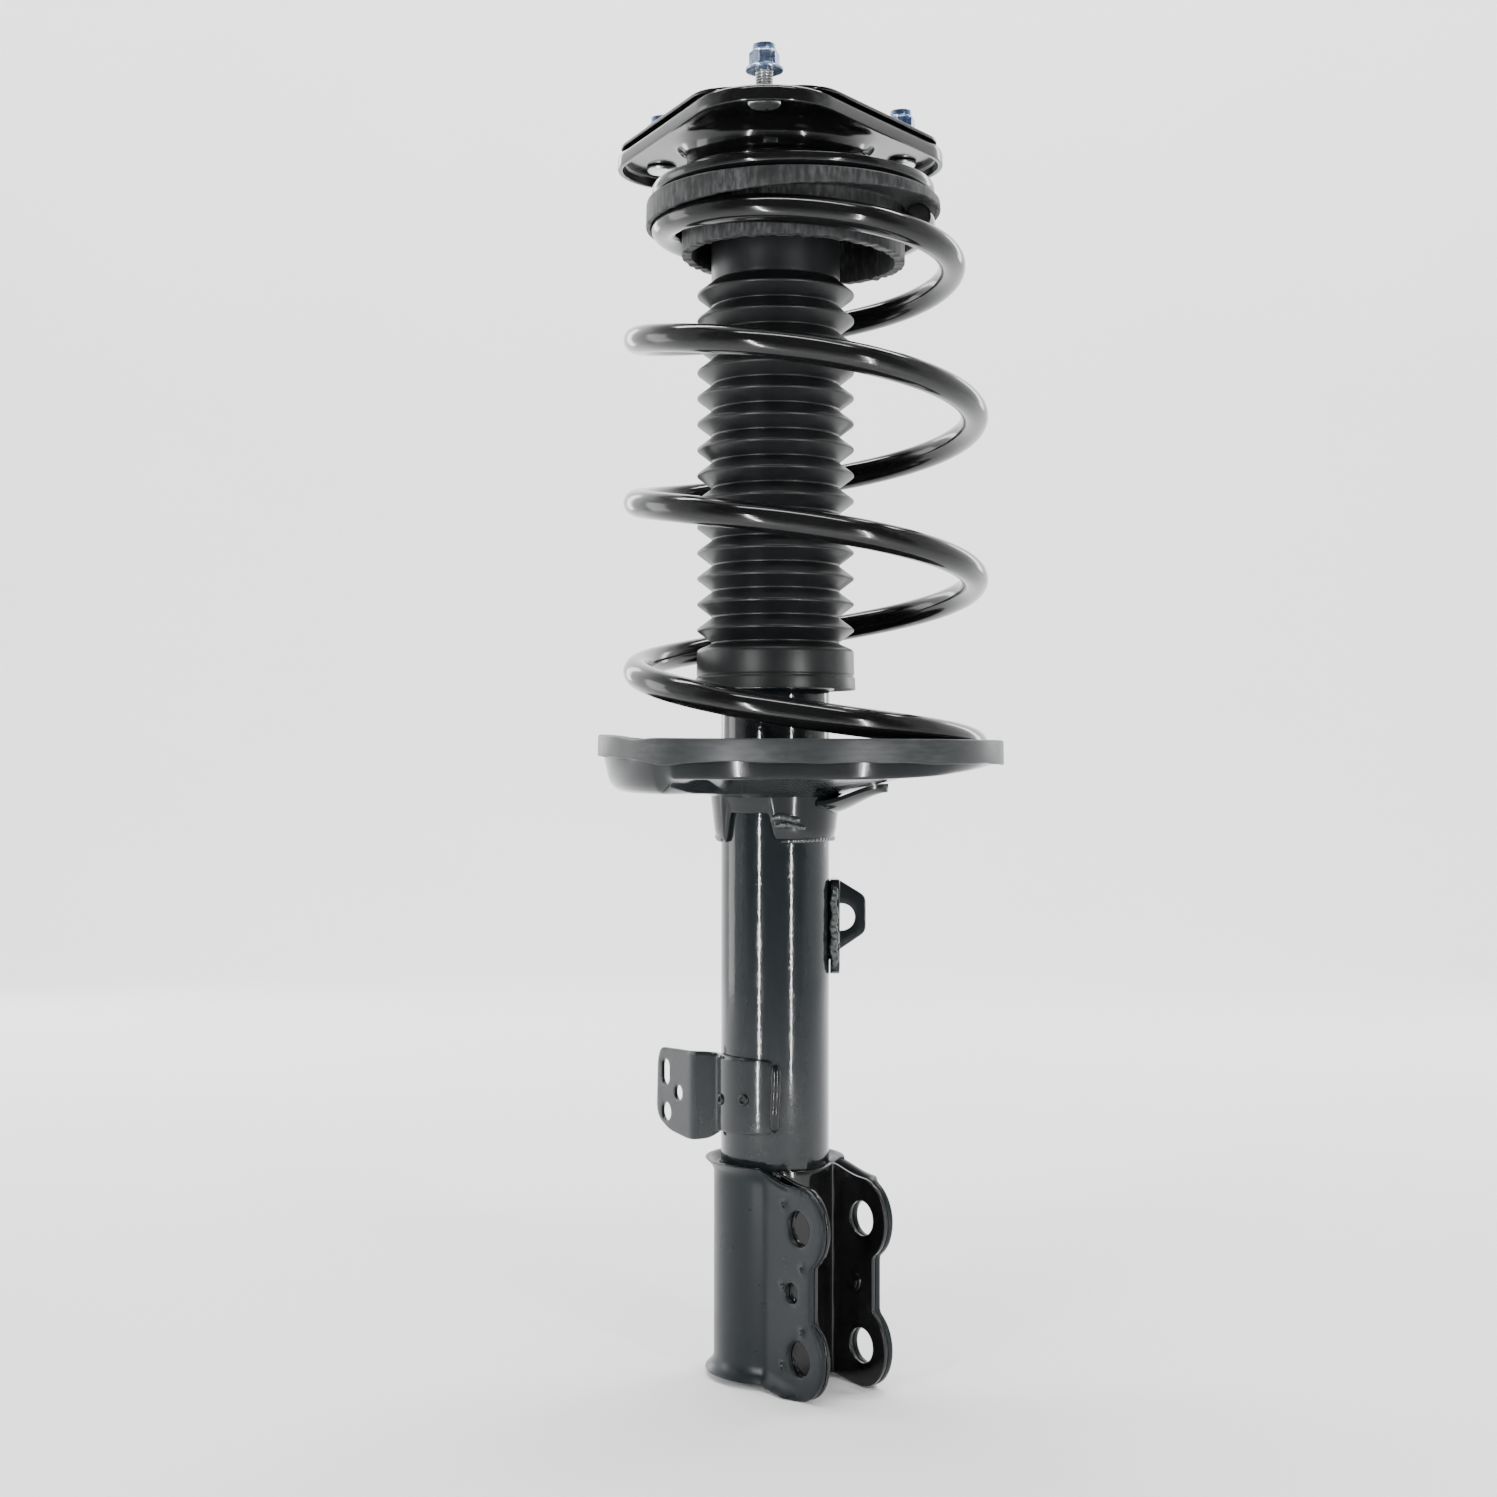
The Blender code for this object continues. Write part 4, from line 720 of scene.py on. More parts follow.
class Desk:
    """A material's node tree, with short ways to add nodes and join them."""

    def __init__(self, name: str) -> None:
        """Starts a material that holds only its Principled shader.

        Args:
            name: the material's name.
        """
        self.material = bpy.data.materials.new(name)
        self.material.use_nodes = True
        self.tree = self.material.node_tree
        self.shader = self.tree.nodes["Principled BSDF"]
        self.place = self.tree.nodes.new("ShaderNodeTexCoord").outputs["Object"]

    def set(self, **values: float) -> None:
        """Sets the shader's own sockets; a name's underscores stand for spaces."""
        for name, value in values.items():
            self.shader.inputs[name.replace("_", " ")].default_value = value

    def node(self, kind: str, links: dict, values: dict) -> bpy.types.Node:
        """A new node, with inputs joined and set by name or by number.

        Args:
            kind: the node's kind, without Blender's prefix.
            links: the socket that each input is joined to.
            values: the value that each input is set to.

        Returns:
            The node.
        """
        node = self.tree.nodes.new("ShaderNode" + kind)
        for key, value in values.items():
            node.inputs[key].default_value = value
        for key, socket in links.items():
            self.tree.links.new(socket, node.inputs[key])
        return node

    def noise(self, scale: float, detail: float = 2.0, stretch: Point = (1, 1, 1)) -> Socket:
        """A noise texture on Object coordinates; scale is in features per metre.

        Args:
            scale: features per metre.
            detail: the noise's octaves.
            stretch: how much faster it changes along each axis.

        Returns:
            The noise's value.
        """
        place = self.node("Mapping", {"Vector": self.place}, {"Scale": stretch}).outputs["Vector"]
        return self.node("TexNoise", {"Vector": place}, {"Scale": scale, "Detail": detail}).outputs["Fac"]

    def ranged(self, value: Socket, low: float, high: float, to_low: float, to_high: float) -> Socket:
        """A value carried from one range to another, and kept inside it.

        Args:
            value: the value to carry.
            low: the start of its range.
            high: the end of its range.
            to_low: the start of the new range.
            to_high: the end of the new range.

        Returns:
            The new value.
        """
        limits = {"From Min": low, "From Max": high, "To Min": to_low, "To Max": to_high}
        return self.node("MapRange", {"Value": value}, limits).outputs["Result"]

    def mixed(self, share: Socket, first: Point, second: Point) -> Socket:
        """A colour between two, by share.

        Args:
            share: 0 for the first colour and 1 for the second.
            first: the first colour.
            second: the second colour.

        Returns:
            The mixed colour.
        """
        node = self.node("Mix", {"Factor": share}, {6: (*first, 1.0), 7: (*second, 1.0)})
        node.data_type = "RGBA"
        return node.outputs[2]

    def bumps(self, layers: Sequence[tuple[Socket, float]]) -> None:
        """Chains bump nodes, each with a height socket and its depth in metres.

        Args:
            layers: each layer's height and its depth in metres.
        """
        before = {}
        for height, depth in layers:
            node = self.node("Bump", {"Height": height, **before}, {"Strength": 1.0, "Distance": depth})
            before = {"Normal": node.outputs["Normal"]}
        self.into(before["Normal"], "Normal")

    def into(self, value: Socket, socket: str) -> None:
        """Joins a value to one of the shader's sockets."""
        self.tree.links.new(value, self.shader.inputs[socket])


@dataclass(frozen=True)
class Paint:
    """Sprayed paint: orange peel, a few dust nibs and an uneven gloss."""

    name: str
    colour: tuple[float, float, float]
    haze: tuple[float, float, float]
    roughness: tuple[float, float]
    coat: float = 0.0
    peel: float = 0.03 * MM
    peel_scale: float = 420.0
    grit: float = 0.008 * MM
    ior: float = 1.45

    def material(self) -> bpy.types.Material:
        """Makes the material.

        Returns:
            The material.
        """
        desk = Desk(self.name)
        desk.set(Coat_Weight=self.coat, Coat_Roughness=0.04, IOR=self.ior)
        cloud = desk.noise(26.0, 4.0)
        desk.into(desk.mixed(desk.ranged(cloud, 0.35, 0.7, 0.0, 1.0), self.colour, self.haze), "Base Color")
        desk.into(desk.ranged(desk.noise(90.0, 3.0), 0.3, 0.7, *self.roughness), "Roughness")
        nibs = desk.ranged(desk.noise(900.0, 1.0), 0.66, 0.8, 0.0, 1.0)
        desk.bumps([(desk.noise(self.peel_scale, 1.5), self.peel), (nibs, self.grit)])
        return desk.material


@dataclass(frozen=True)
class Rubber:
    """Moulded rubber with a chalky bloom rubbed into streaks."""

    name: str
    colour: tuple[float, float, float]
    bloom: tuple[float, float, float]
    roughness: tuple[float, float]
    stretch: tuple[float, float, float] = (1.0, 1.0, 0.12)
    streaks: float = 260.0
    share: float = 1.0

    def material(self) -> bpy.types.Material:
        """Makes the material.

        Returns:
            The material.
        """
        desk = Desk(self.name)
        desk.set(IOR=1.48, Specular_IOR_Level=0.42)
        streak = desk.noise(self.streaks, 5.0, self.stretch)
        patch = desk.noise(34.0, 3.0)
        rubbed = desk.ranged(streak, 0.42, 0.72, 0.0, self.share)
        node = desk.node("Math", {0: rubbed, 1: desk.ranged(patch, 0.3, 0.66, 0.25, 1.0)}, {})
        node.operation = "MULTIPLY"
        desk.into(desk.mixed(node.outputs[0], self.colour, self.bloom), "Base Color")
        desk.into(desk.ranged(patch, 0.3, 0.7, *self.roughness), "Roughness")
        desk.bumps([(streak, 0.05 * MM), (desk.noise(1400.0, 3.0), 0.02 * MM)])
        return desk.material


@dataclass(frozen=True)
class Metal:
    """Bare or plated metal with fine drawn lines and a tint that wanders."""

    name: str
    colour: tuple[float, float, float]
    tint: tuple[float, float, float]
    roughness: tuple[float, float]
    lines: tuple[float, float, float] = (1.0, 1.0, 8.0)
    depth: float = 0.006 * MM

    def material(self) -> bpy.types.Material:
        """Makes the material.

        Returns:
            The material.
        """
        desk = Desk(self.name)
        desk.set(Metallic=1.0)
        cloud = desk.noise(140.0, 3.0)
        drawn = desk.noise(420.0, 3.0, self.lines)
        desk.into(desk.mixed(desk.ranged(cloud, 0.35, 0.65, 0.0, 1.0), self.colour, self.tint), "Base Color")
        desk.into(desk.ranged(drawn, 0.3, 0.7, *self.roughness), "Roughness")
        desk.bumps([(drawn, self.depth), (desk.noise(2600.0, 2.0), self.depth)])
        return desk.material


@dataclass(frozen=True)
class Foam:
    """Cellular polyurethane: small closed cells under a thin moulded skin, with painted shade in the cell
    pits.
    """

    name: str
    colour: tuple[float, float, float]
    pit_shade: tuple[float, float, float]

    def material(self) -> bpy.types.Material:
        """Makes the material.

        Returns:
            The material.
        """
        desk = Desk(self.name)
        desk.set(Roughness=0.85)
        cells = desk.node("TexVoronoi", {"Vector": desk.place}, {"Scale": 900.0}).outputs["Distance"]
        # painted shade: the colour darkens towards the middle of each cell, where the bump sinks it into a
        # pit
        depth = desk.ranged(cells, 0.1, 0.6, 0.0, 1.0)
        desk.into(desk.mixed(depth, self.pit_shade, self.colour), "Base Color")
        desk.bumps([(cells, 0.15 * MM)])
        return desk.material


class Finish(Enum):
    """The finishes of the strut's pieces, each with the record's slot that it stands for."""

    BLACK_PAINT = (
        "black_paint",
        Paint(
            "gloss_black_paint", (0.0035, 0.0036, 0.004), (0.006, 0.0063, 0.0066), (0.11, 0.17), 0.2,
            0.01 * MM, 420.0, 0.006 * MM, 1.38,
        ),
    )
    TUBE_PAINT = (
        "grey_paint",
        Paint(
            "dark_grey_gloss_paint", (0.0085, 0.0112, 0.0126), (0.011, 0.014, 0.0156), (0.08, 0.14),
            0.3, 0.07 * MM, 560.0, 0.02 * MM, 1.33,
        ),
    )
    SEAT_PAINT = (
        "grey_paint",
        Paint(
            "dark_grey_smooth_paint", (0.0055, 0.007, 0.0078), (0.0075, 0.0092, 0.01), (0.11, 0.18),
            0.15, 0.012 * MM, 260.0, 0.004 * MM, 1.33,
        ),
    )
    BRACKET_PAINT = (
        "bracket_paint",
        Paint(
            "bluish_satin_paint", (0.0065, 0.009, 0.0106), (0.008, 0.011, 0.0126), (0.27, 0.33), 0.0,
            0.01 * MM, 700.0, 0.001 * MM, 1.3,
        ),
    )
    WELD = (
        "grey_paint",
        Paint(
            "painted_weld", (0.014, 0.017, 0.018), (0.03, 0.033, 0.034), (0.1, 0.24), 0.4, 0.22 * MM,
            700.0, 0.05 * MM,
        ),
    )
    ZINC = ("zinc", Metal("bright_zinc", (0.55, 0.56, 0.57), (0.66, 0.67, 0.68), (0.24, 0.42)))
    BLUE_ZINC = (
        "zinc",
        Metal(
            "blue_passivated_zinc", (0.12, 0.19, 0.36), (0.34, 0.41, 0.54), (0.22, 0.4),
        ),
    )
    STEEL = ("steel", Metal("machined_steel", (0.36, 0.36, 0.36), (0.44, 0.44, 0.43), (0.25, 0.42)))
    CHROME = (
        "chrome",
        Metal(
            "ground_chrome", (0.68, 0.69, 0.7), (0.72, 0.72, 0.72), (0.05, 0.1), (1.0, 1.0, 14.0),
            0.001 * MM,
        ),
    )
    ISOLATOR = (
        "rubber",
        Rubber(
            "streaked_isolator_rubber", (0.009, 0.0095, 0.01), (0.065, 0.068, 0.07), (0.45, 0.7),
            (1.0, 1.0, 0.3), 520.0,
        ),
    )
    BAND = (
        "rubber",
        Rubber(
            "band_rubber", (0.012, 0.014, 0.015), (0.035, 0.039, 0.041), (0.35, 0.5),
            (0.2, 0.2, 1.0), 520.0, 0.7,
        ),
    )
    SEAL = ("rubber", Rubber("black_seal_rubber", (0.012, 0.012, 0.013), (0.03, 0.03, 0.031), (0.5, 0.7)))
    BOOT = (
        "boot_rubber",
        Rubber(
            "satin_boot_rubber", (0.006, 0.0068, 0.0075), (0.011, 0.012, 0.013), (0.34, 0.44),
            (1.0, 1.0, 0.05), 160.0, 0.7,
        ),
    )
    # the second colour is painted shade for the cell pits of the foam
    FOAM = ("foam", Foam("bump_stop_foam", (0.5, 0.36, 0.13), (0.32, 0.22, 0.07)))
    NYLON = (
        "plastic",
        Paint(
            "black_nylon", (0.012, 0.012, 0.013), (0.02, 0.02, 0.021), (0.42, 0.55), 0.0, 0.02 * MM,
            900.0,
        ),
    )

    @property
    def slot(self) -> str:
        """The record's material slot."""
        return self.value[0]

    @property
    def material(self) -> bpy.types.Material:
        """The finish's material, made once."""
        recipe = self.value[1]
        return bpy.data.materials.get(recipe.name) or recipe.material()


# ---------------------------------------------------------------- placing pieces


def piece(
    name: str, shape: Shape, finish: Finish, body: Body | None, *nodes: str, crease: float = 32.0
) -> bpy.types.Object:
    """Makes an object from a surface, finishes it and puts it on its body.

    Args:
        name: the piece's name.
        shape: its closed surface, in the frame's coordinates.
        finish: its finish.
        body: the body that it rides on, or None for a piece that stays on no body.
        *nodes: the CAD nodes that it stands for.
        crease: the angle in degrees past which an edge is drawn sharp.

    Returns:
        The object.
    """
    shape = shape.outward()
    mesh = bpy.data.meshes.new(name)
    corners = np.concatenate([shape.quads.ravel(), shape.tris.ravel()])
    four, three = len(shape.quads), len(shape.tris)
    starts = np.concatenate([np.arange(four) * 4, four * 4 + np.arange(three) * 3])
    mesh.vertices.add(len(shape.points))
    mesh.vertices.foreach_set("co", shape.points.astype(np.float32).ravel())
    mesh.loops.add(len(corners))
    mesh.loops.foreach_set("vertex_index", corners.astype(np.int32))
    mesh.polygons.add(len(starts))
    mesh.polygons.foreach_set("loop_start", starts.astype(np.int32))
    mesh.update(calc_edges=True)
    mesh.shade_smooth()
    mesh.set_sharp_from_angle(angle=radians(crease))
    made = bpy.data.objects.new(name, mesh)
    bpy.context.scene.collection.objects.link(made)
    mesh.materials.append(finish.material)
    if body is not None:
        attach(made, body.value)
    if nodes:
        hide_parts(*nodes)
    finish.slot
    LOG.info("%s: %d points, %s", name, len(shape.points), finish.name)
    return made


def shorten(made: bpy.types.Object, low: float, high: float) -> None:
    """Bakes the place of a piece into its mesh; it does not shorten between the tube and the upper seat.

    Args:
        made: the piece.
        low: the height under which it would stay with the tube; not used.
        high: the height over which it would move with the seat; not used.
    """
    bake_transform(made)


# ---------------------------------------------------------------- damper


@dataclass
class Damper:
    """The twin tube, its caps, and the rod that runs in it."""

    wall: float = 2.2 * MM
    cap_sheet: float = 2.0 * MM
    cap_hole: float = 12.4 * MM
    base_sheet: float = 3.0 * MM
    shoulder: float = 548.0 * MM
    stud_radius: float = 7.0 * MM
    neck_radius: float = 6.0 * MM
    thread_pitch: float = 1.5 * MM
    thread_depth: float = 0.85 * MM
    thread_bottom: float = 566.0 * MM

    def tube(self) -> Shape:
        """The reservoir tube: a ring profile with a rounded mouth."""
        span = Span.of("reservoir_tube")
        return turned(softened(span.ring_corners(span.radius - self.wall), 0.6 * MM), 128)

    def base_cap(self) -> Shape:
        """The dished cap pressed into the tube's foot.

        Returns:
            The surface.
        """
        span = Span.of("base_cap")
        r, top, sheet = span.radius, span.top, self.base_sheet
        corners = [
            (1 * MM, span.bottom + sheet), (r - sheet - 2 * MM, span.bottom + sheet),
            (r - sheet, top), (r, top), (r, span.bottom + 1.5 * MM), (r - 2.5 * MM, span.bottom),
            (1 * MM, span.bottom),
        ]
        line = softened(corners, [0, 2 * MM, 0.6 * MM, 0.5 * MM, 1 * MM, 1 * MM, 0], 4, False)
        return turned(line, 96, closed=False)

    def end_cap(self) -> Shape:
        """The steel cap over the tube's top, with a dimple round the rod.

        Returns:
            The surface.
        """
        span = Span.of("tube_end_cap")
        r, sheet = span.radius, self.cap_sheet
        roof = span.top - sheet
        corners = [
            (r, span.top), (r, span.bottom), (r - sheet, span.bottom), (r - sheet, roof),
            (self.cap_hole + 5 * MM, roof), (self.cap_hole, roof + 0.4 * MM),
            (self.cap_hole, span.top - 0.1 * MM), (self.cap_hole + 5 * MM, span.top - 0.8 * MM),
            (self.cap_hole + 8 * MM, span.top),
        ]
        return turned(softened(corners, [1.6 * MM] + [0.5 * MM] * 8), 96)

    def rod(self) -> Shape:
        """The chromed rod, its stud threaded where the nut goes.

        Returns:
            The surface.
        """
        span = Span.of("piston_rod")
        low, top, shoulder = self.thread_bottom, span.top, self.shoulder
        neck = Span.of("piston").top
        plain = [
            (self.neck_radius, span.bottom), (self.neck_radius, neck), (span.radius, neck),
            (span.radius, shoulder), (self.stud_radius, shoulder), (self.stud_radius, low),
        ]
        plain = softened(plain, 0.4 * MM, 2, False)
        heights = thread_rows(low, top - 1 * MM, self.thread_pitch)[1:]
        thread = np.stack([np.full(len(heights), self.stud_radius), heights], axis=-1)
        end = np.array([(self.stud_radius - 1 * MM, top), (1 * MM, top)])
        wave = thread_wave(self.thread_pitch, self.thread_depth, low, top)
        return turned(np.concatenate([plain, thread, end]), 64, closed=False, wave=wave)

    def build(self, frame: dict) -> None:
        """Makes the tube, the caps and the rod, and finishes the hidden pieces inside.

        Args:
            frame: the loaded frame, whose nodes are the hidden pieces.
        """
        piece("reservoir_tube_shell", self.tube(), Finish.TUBE_PAINT, Body.LOWER, "reservoir_tube")
        piece("base_cap_dish", self.base_cap(), Finish.TUBE_PAINT, Body.LOWER, "base_cap")
        piece("tube_end_cap_pressing", self.end_cap(), Finish.STEEL, Body.LOWER, "tube_end_cap")
        piece("chromed_rod", self.rod(), Finish.CHROME, Body.MOUNT, "piston_rod")
        inner = {
            Finish.STEEL: (
                "pressure_tube", "base_valve", "rod_guide", "piston", "piston_nut",
                "rebound_stop_retainer",
            ),
            Finish.SEAL: ("rod_seal", "rebound_stop"),
            Finish.NYLON: ("piston_ring",),
        }
        for finish, names in inner.items():
            for name in names:
                materials = frame["nodes"][name].data.materials
                materials.clear()
                materials.append(finish.material)


# ---------------------------------------------------------------- coil spring


@dataclass
class CoilSpring:
    """The left-hand coil, wound tighter at its top and laid into the seat's pocket."""

    wire: float = 6.3 * MM
    radius: float = 78.0 * MM
    top_radius: float = 60.0 * MM
    pitch: float = 75.0 * MM
    centre: tuple[float, float] = (13.7 * MM, -17.5 * MM)
    top_centre: tuple[float, float] = (8.0 * MM, -10.2 * MM)
    top_height: float = 522.8 * MM
    landing: float = 280.0 * MM
    last_full: float = 355.8 * MM
    tail_drop: float = 12.5 * MM
    angles: tuple[float, float] = (-20.0, 1655.0)
    bevel: float = 0.8 * MM

    def raw_height(self, angle: Array) -> Array:
        """Height of the wire's middle at an angle in degrees, by straight stretches.

        Args:
            angle: angles in degrees along the winding.

        Returns:
            The heights.
        """
        start, end = self.angles
        full_from, full_to, last = 540.0, 1080.0, 1440.0
        full_top = self.last_full + self.pitch * (full_to - full_from) / 360.0
        knots = [start - 90.0, 150.0, 200.0, 270.0, 360.0, 450.0, full_from]
        heights = [self.top_height - f * MM for f in (0.0, 0.0, 1.6, 7.0, 17.5, 34.0)] + [full_top]
        knots += [full_to, full_to + 90.0, full_to + 180.0, full_to + 270.0]
        fall = self.last_full - self.landing
        heights += [self.last_full - fall * f for f in (0.0, 0.25, 0.525, 0.84)]
        knots += [last, last + 90.0, last + 180.0, end + 60.0]
        heights += [self.landing - self.tail_drop * f for f in (0.0, 0.62, 0.94, 1.0)]
        return np.interp(angle, knots, heights)

    def height(self, angle: Array) -> Array:
        """The height averaged over 60 degrees, so that the slope changes gently."""
        offsets = np.linspace(-30.0, 30.0, 61)
        return np.mean([self.raw_height(np.asarray(angle) + o) for o in offsets], axis=0)

    def line(self, angle: Array) -> Array:
        """Points on the wire's middle, at the height that height() gives.

        They lie on a circle whose radius and centre ease from the top turn's to the full
        turns'.

        Args:
            angle: angles in degrees along the winding.

        Returns:
            The points, of shape (count, 3).
        """
        spread = smooth_step((angle - 235.0) / 260.0)[:, None]
        radius = self.top_radius + (self.radius - self.top_radius) * smooth_step((angle - 225.0) / 230.0)
        centre = np.array(self.top_centre) * (1.0 - spread) + np.array(self.centre) * spread
        turn = np.radians(angle)
        x = centre[:, 0] + radius * np.cos(turn)
        y = centre[:, 1] + radius * np.sin(turn)
        return np.stack([x, y, self.height(angle)], axis=-1)

    def build(self) -> None:
        """Makes the wire on no body and bakes its place into its mesh; it does not shorten between its two
        seats.
        """
        start, end = self.angles
        tip = degrees(self.bevel / self.radius)
        between = np.arange(start + 3.0, end - 3.0, 2.5)
        angles = np.concatenate([[start, start + tip], between, [end - tip, end]])
        middle = self.line(angles)
        sizes = np.full(len(angles), self.wire)
        sizes[[0, -1]] -= self.bevel
        steps = 32
        made = piece("coil_spring_wire", swept(middle, sizes, steps), Finish.BLACK_PAINT, None, "coil_spring")
        shorten(made, self.landing, self.top_height)


# ---------------------------------------------------------------- lower seat


@dataclass
class LowerSeat:
    """The pan that carries the spring, its rubber band, and the collar under it."""

    coil: CoilSpring
    centre: tuple[float, float] = (11.4 * MM, -17.5 * MM)
    radius: float = 91.0 * MM
    sheet: float = 2.5 * MM
    rim: float = 281.0 * MM
    floor: float = 261.2 * MM
    hub_bottom: float = 254.0 * MM
    track: tuple[float, float] = (66.0 * MM, 87.0 * MM)
    plate: float = 58.0 * MM
    step_angle: float = 226.0
    front_floor: float = 269.0 * MM
    gap: float = 0.3 * MM
    band_wall: float = 2.2 * MM
    band_height: float = 8.5 * MM
    band_lip: float = 4.0 * MM
    gusset_angle: float = -20.0

    def track_height(self, angle: Array) -> Array:
        """Height of the track: it follows the wire's tail, then steps up to the front ledge.

        Args:
            angle: angles in degrees round the pan's middle.

        Returns:
            The heights.
        """
        drop = self.coil.wire + self.gap
        tail = self.coil.height(angle + 1440.0) - drop
        landing = float(self.coil.height(np.array(1440.0))) - drop
        front = self.front_floor + (landing - self.front_floor) * smooth_step((angle - 280.0) / 80.0)
        return tail + (front - tail) * smooth_step((angle - self.step_angle + 4.0) / 8.0)

    def rim_height(self, angle: Array) -> Array:
        """The rim stands a little higher over the pocket."""
        return self.rim + 2.6 * MM * bell((angle - 180.0) / 38.0)

    def station(self, rays: Array, radius: float) -> tuple[Array, Array]:
        """Distance from the damper's axis to a circle round the pan's middle, on each ray.

        Args:
            rays: the rays' directions, of shape (count, 2).
            radius: the circle's radius.

        Returns:
            The distances, and the angles in degrees round the pan's middle.
        """
        centre = np.array(self.centre)
        along = rays @ centre
        distance = along + np.sqrt(along**2 - centre @ centre + radius**2)
        away = rays * distance[:, None] - centre
        return distance, np.degrees(np.arctan2(away[:, 1], away[:, 0])) % 360.0

    def pan(self) -> Shape:
        """The pan, from a section on each ray from the damper's axis.

        Returns:
            The surface.
        """
        step = radians(self.step_angle)
        near = np.array(self.centre) + 77 * MM * np.array([cos(step), sin(step)])
        middle = degrees(atan2(near[1], near[0])) % 360.0
        angles = np.concatenate([np.arange(0.0, 360.0, 1.6), middle + np.linspace(-9.0, 9.0, 37)])
        turn = np.radians(np.unique(np.round(angles % 360.0, 2)))
        rays = np.stack([np.cos(turn), np.sin(turn)], axis=-1)
        hub = tube_radius() + self.gap
        wall = self.radius - self.sheet
        edge, edge_angle = self.station(rays, self.plate)
        pocket = 1.0 - smooth_step((np.abs(edge_angle - 165.0) - 45.0) / 40.0)
        flat = hub + 8 * MM + (edge - hub - 8 * MM) * pocket
        t_in, a_in = self.station(rays, self.track[0])
        t_out, a_out = self.station(rays, self.track[1])
        t_up, _ = self.station(rays, self.track[1] - 1 * MM)
        w_in, _ = self.station(rays, wall - 1 * MM)
        w_top, _ = self.station(rays, wall)
        r_out, a_rim = self.station(rays, self.radius)
        high, track_in, track_out = self.rim_height(a_rim), self.track_height(a_in), self.track_height(a_out)
        low, sheet = self.floor - self.sheet, self.sheet
        front = smooth_step((a_rim - self.step_angle + 2.0) / 8.0) * smooth_step((345.0 - a_rim) / 40.0)
        t_low = t_out + 0.2 * MM + (r_out - 0.9 * MM - t_out) * front
        t_up = t_up + (w_in - 0.6 * MM - t_up) * front
        corners = [
            (hub, self.floor, 0.5), (flat, self.floor, 3.0), (t_in, track_in, 4.0),
            (t_up, track_out, 6.0 - 4.0 * front), (w_in, self.rim - 3 * MM, 2.0),
            (w_top, high, 0.6), (r_out, high, 0.6), (r_out, self.rim - 6 * MM, 4.0),
            (t_low, track_out - sheet - 1.0 * MM * front, 8.0 - 6.4 * front),
            (t_in + 0.3 * MM, track_in - sheet, 5.0), (flat + 0.5 * MM, low, 3.0),
            (hub + sheet + 5 * MM, low, 2.0), (hub + sheet, low - 3 * MM, 2.0),
            (hub + sheet, self.hub_bottom, 0.6), (hub, self.hub_bottom, 0.5),
        ]
        return ringed(corners, turn, steps=4)

    def band(self) -> Shape:
        """The rubber band over the rim, with a fold where the pan steps.

        Returns:
            The surface.
        """
        angle = np.linspace(0.0, 360.0, 300, endpoint=False)
        turn = np.radians(angle)
        high = self.rim_height(angle)
        fold = bell((angle - self.step_angle - 4.0) / 9.0)
        ripple = 0.25 * MM * (np.sin(9.0 * turn) + 0.6 * np.sin(23.0 * turn + 1.0))
        top = high + self.gap + 1.8 * MM - 1.2 * MM * bell((angle - self.step_angle + 10.0) / 7.0)
        inner = self.radius + self.gap
        outer = inner + self.band_wall + 0.7 * MM * fold
        deep = high - self.band_height + 0.9 * MM - 0.6 * MM * (1.0 + np.cos(turn)) - 1.6 * MM * fold + ripple
        corners = [
            (inner - self.band_lip, top, 0.6), (outer, top, 1.1), (outer + 0.25 * MM, deep, 0.7),
            (inner + 0.2 * MM, deep, 0.4), (inner, high + self.gap, 0.3),
            (inner - self.band_lip, high + self.gap, 0.4),
        ]
        return ringed(corners, turn, self.centre)

    def collar(self) -> Shape:
        """The sleeve under the pan; its foot rises at the front left, where the tube shows.

        Returns:
            The surface.
        """
        span = Span.of("seat_support")
        inner = tube_radius() + self.gap
        angle = np.linspace(0.0, 360.0, 160, endpoint=False)
        turn = np.radians(angle)
        top = span.top - 0.2 * MM
        bare = smooth_step((angle - 212.0) / 9.0) * smooth_step((270.0 - angle) / 8.0)
        foot = span.bottom + 1.2 * MM + 12.5 * MM * bare + 0.8 * MM * np.sin(3.0 * turn + 0.5) * (1.0 - bare)
        corners = [
            (inner + 5.0 * MM, top, 0.5), (inner + 4.8 * MM, top - 4 * MM, 2.0),
            (inner + 2.8 * MM, foot + 4 * MM, 2.0), (inner + 1.6 * MM, foot, 1.2),
            (inner, foot, 0.3), (inner, top, 0.3),
        ]
        return ringed(corners, turn)

    def gusset(self) -> Shape:
        """The tongue from the collar up to the pan: a tapering channel with curled sides.

        Along its length v from 0 to 1 the half width is 15 (1 - v)^0.6 + 1.5 mm, the
        middle rises from 4 mm under the pan's hub to its underside, and each side is
        curled up by 5 mm times the square of the share across.

        Returns:
            The surface.
        """
        turn = radians(self.gusset_angle)
        out = np.array([cos(turn), sin(turn)])
        across = np.array([-out[1], out[0]])
        v = np.linspace(0.0, 1.0, 28)[:, None]
        w = np.linspace(-1.0, 1.0, 22)[None, :]
        reach = 26 * MM + 29 * MM * v
        half = 15 * MM * (1.0 - v) ** 0.6 + 1.5 * MM
        root = self.hub_bottom - 3.5 * MM
        rise = self.floor - self.sheet + 2.5 * MM - self.hub_bottom + 3.5 * MM
        base = root + rise * smooth_step(v * 0.9 + 0.05)
        lift = 4.5 * MM * w**2 * (1.0 - 0.55 * v)
        loops = []
        for depth in (0.0, -2.0 * MM):
            xy = reach[..., None] * out + (half * w)[..., None] * across
            loops.append(np.concatenate([xy, (base + lift + depth)[..., None]], axis=-1))
        lower = loops[1][:, ::-1]
        return capped_shape(np.concatenate([loops[0], lower], axis=1))

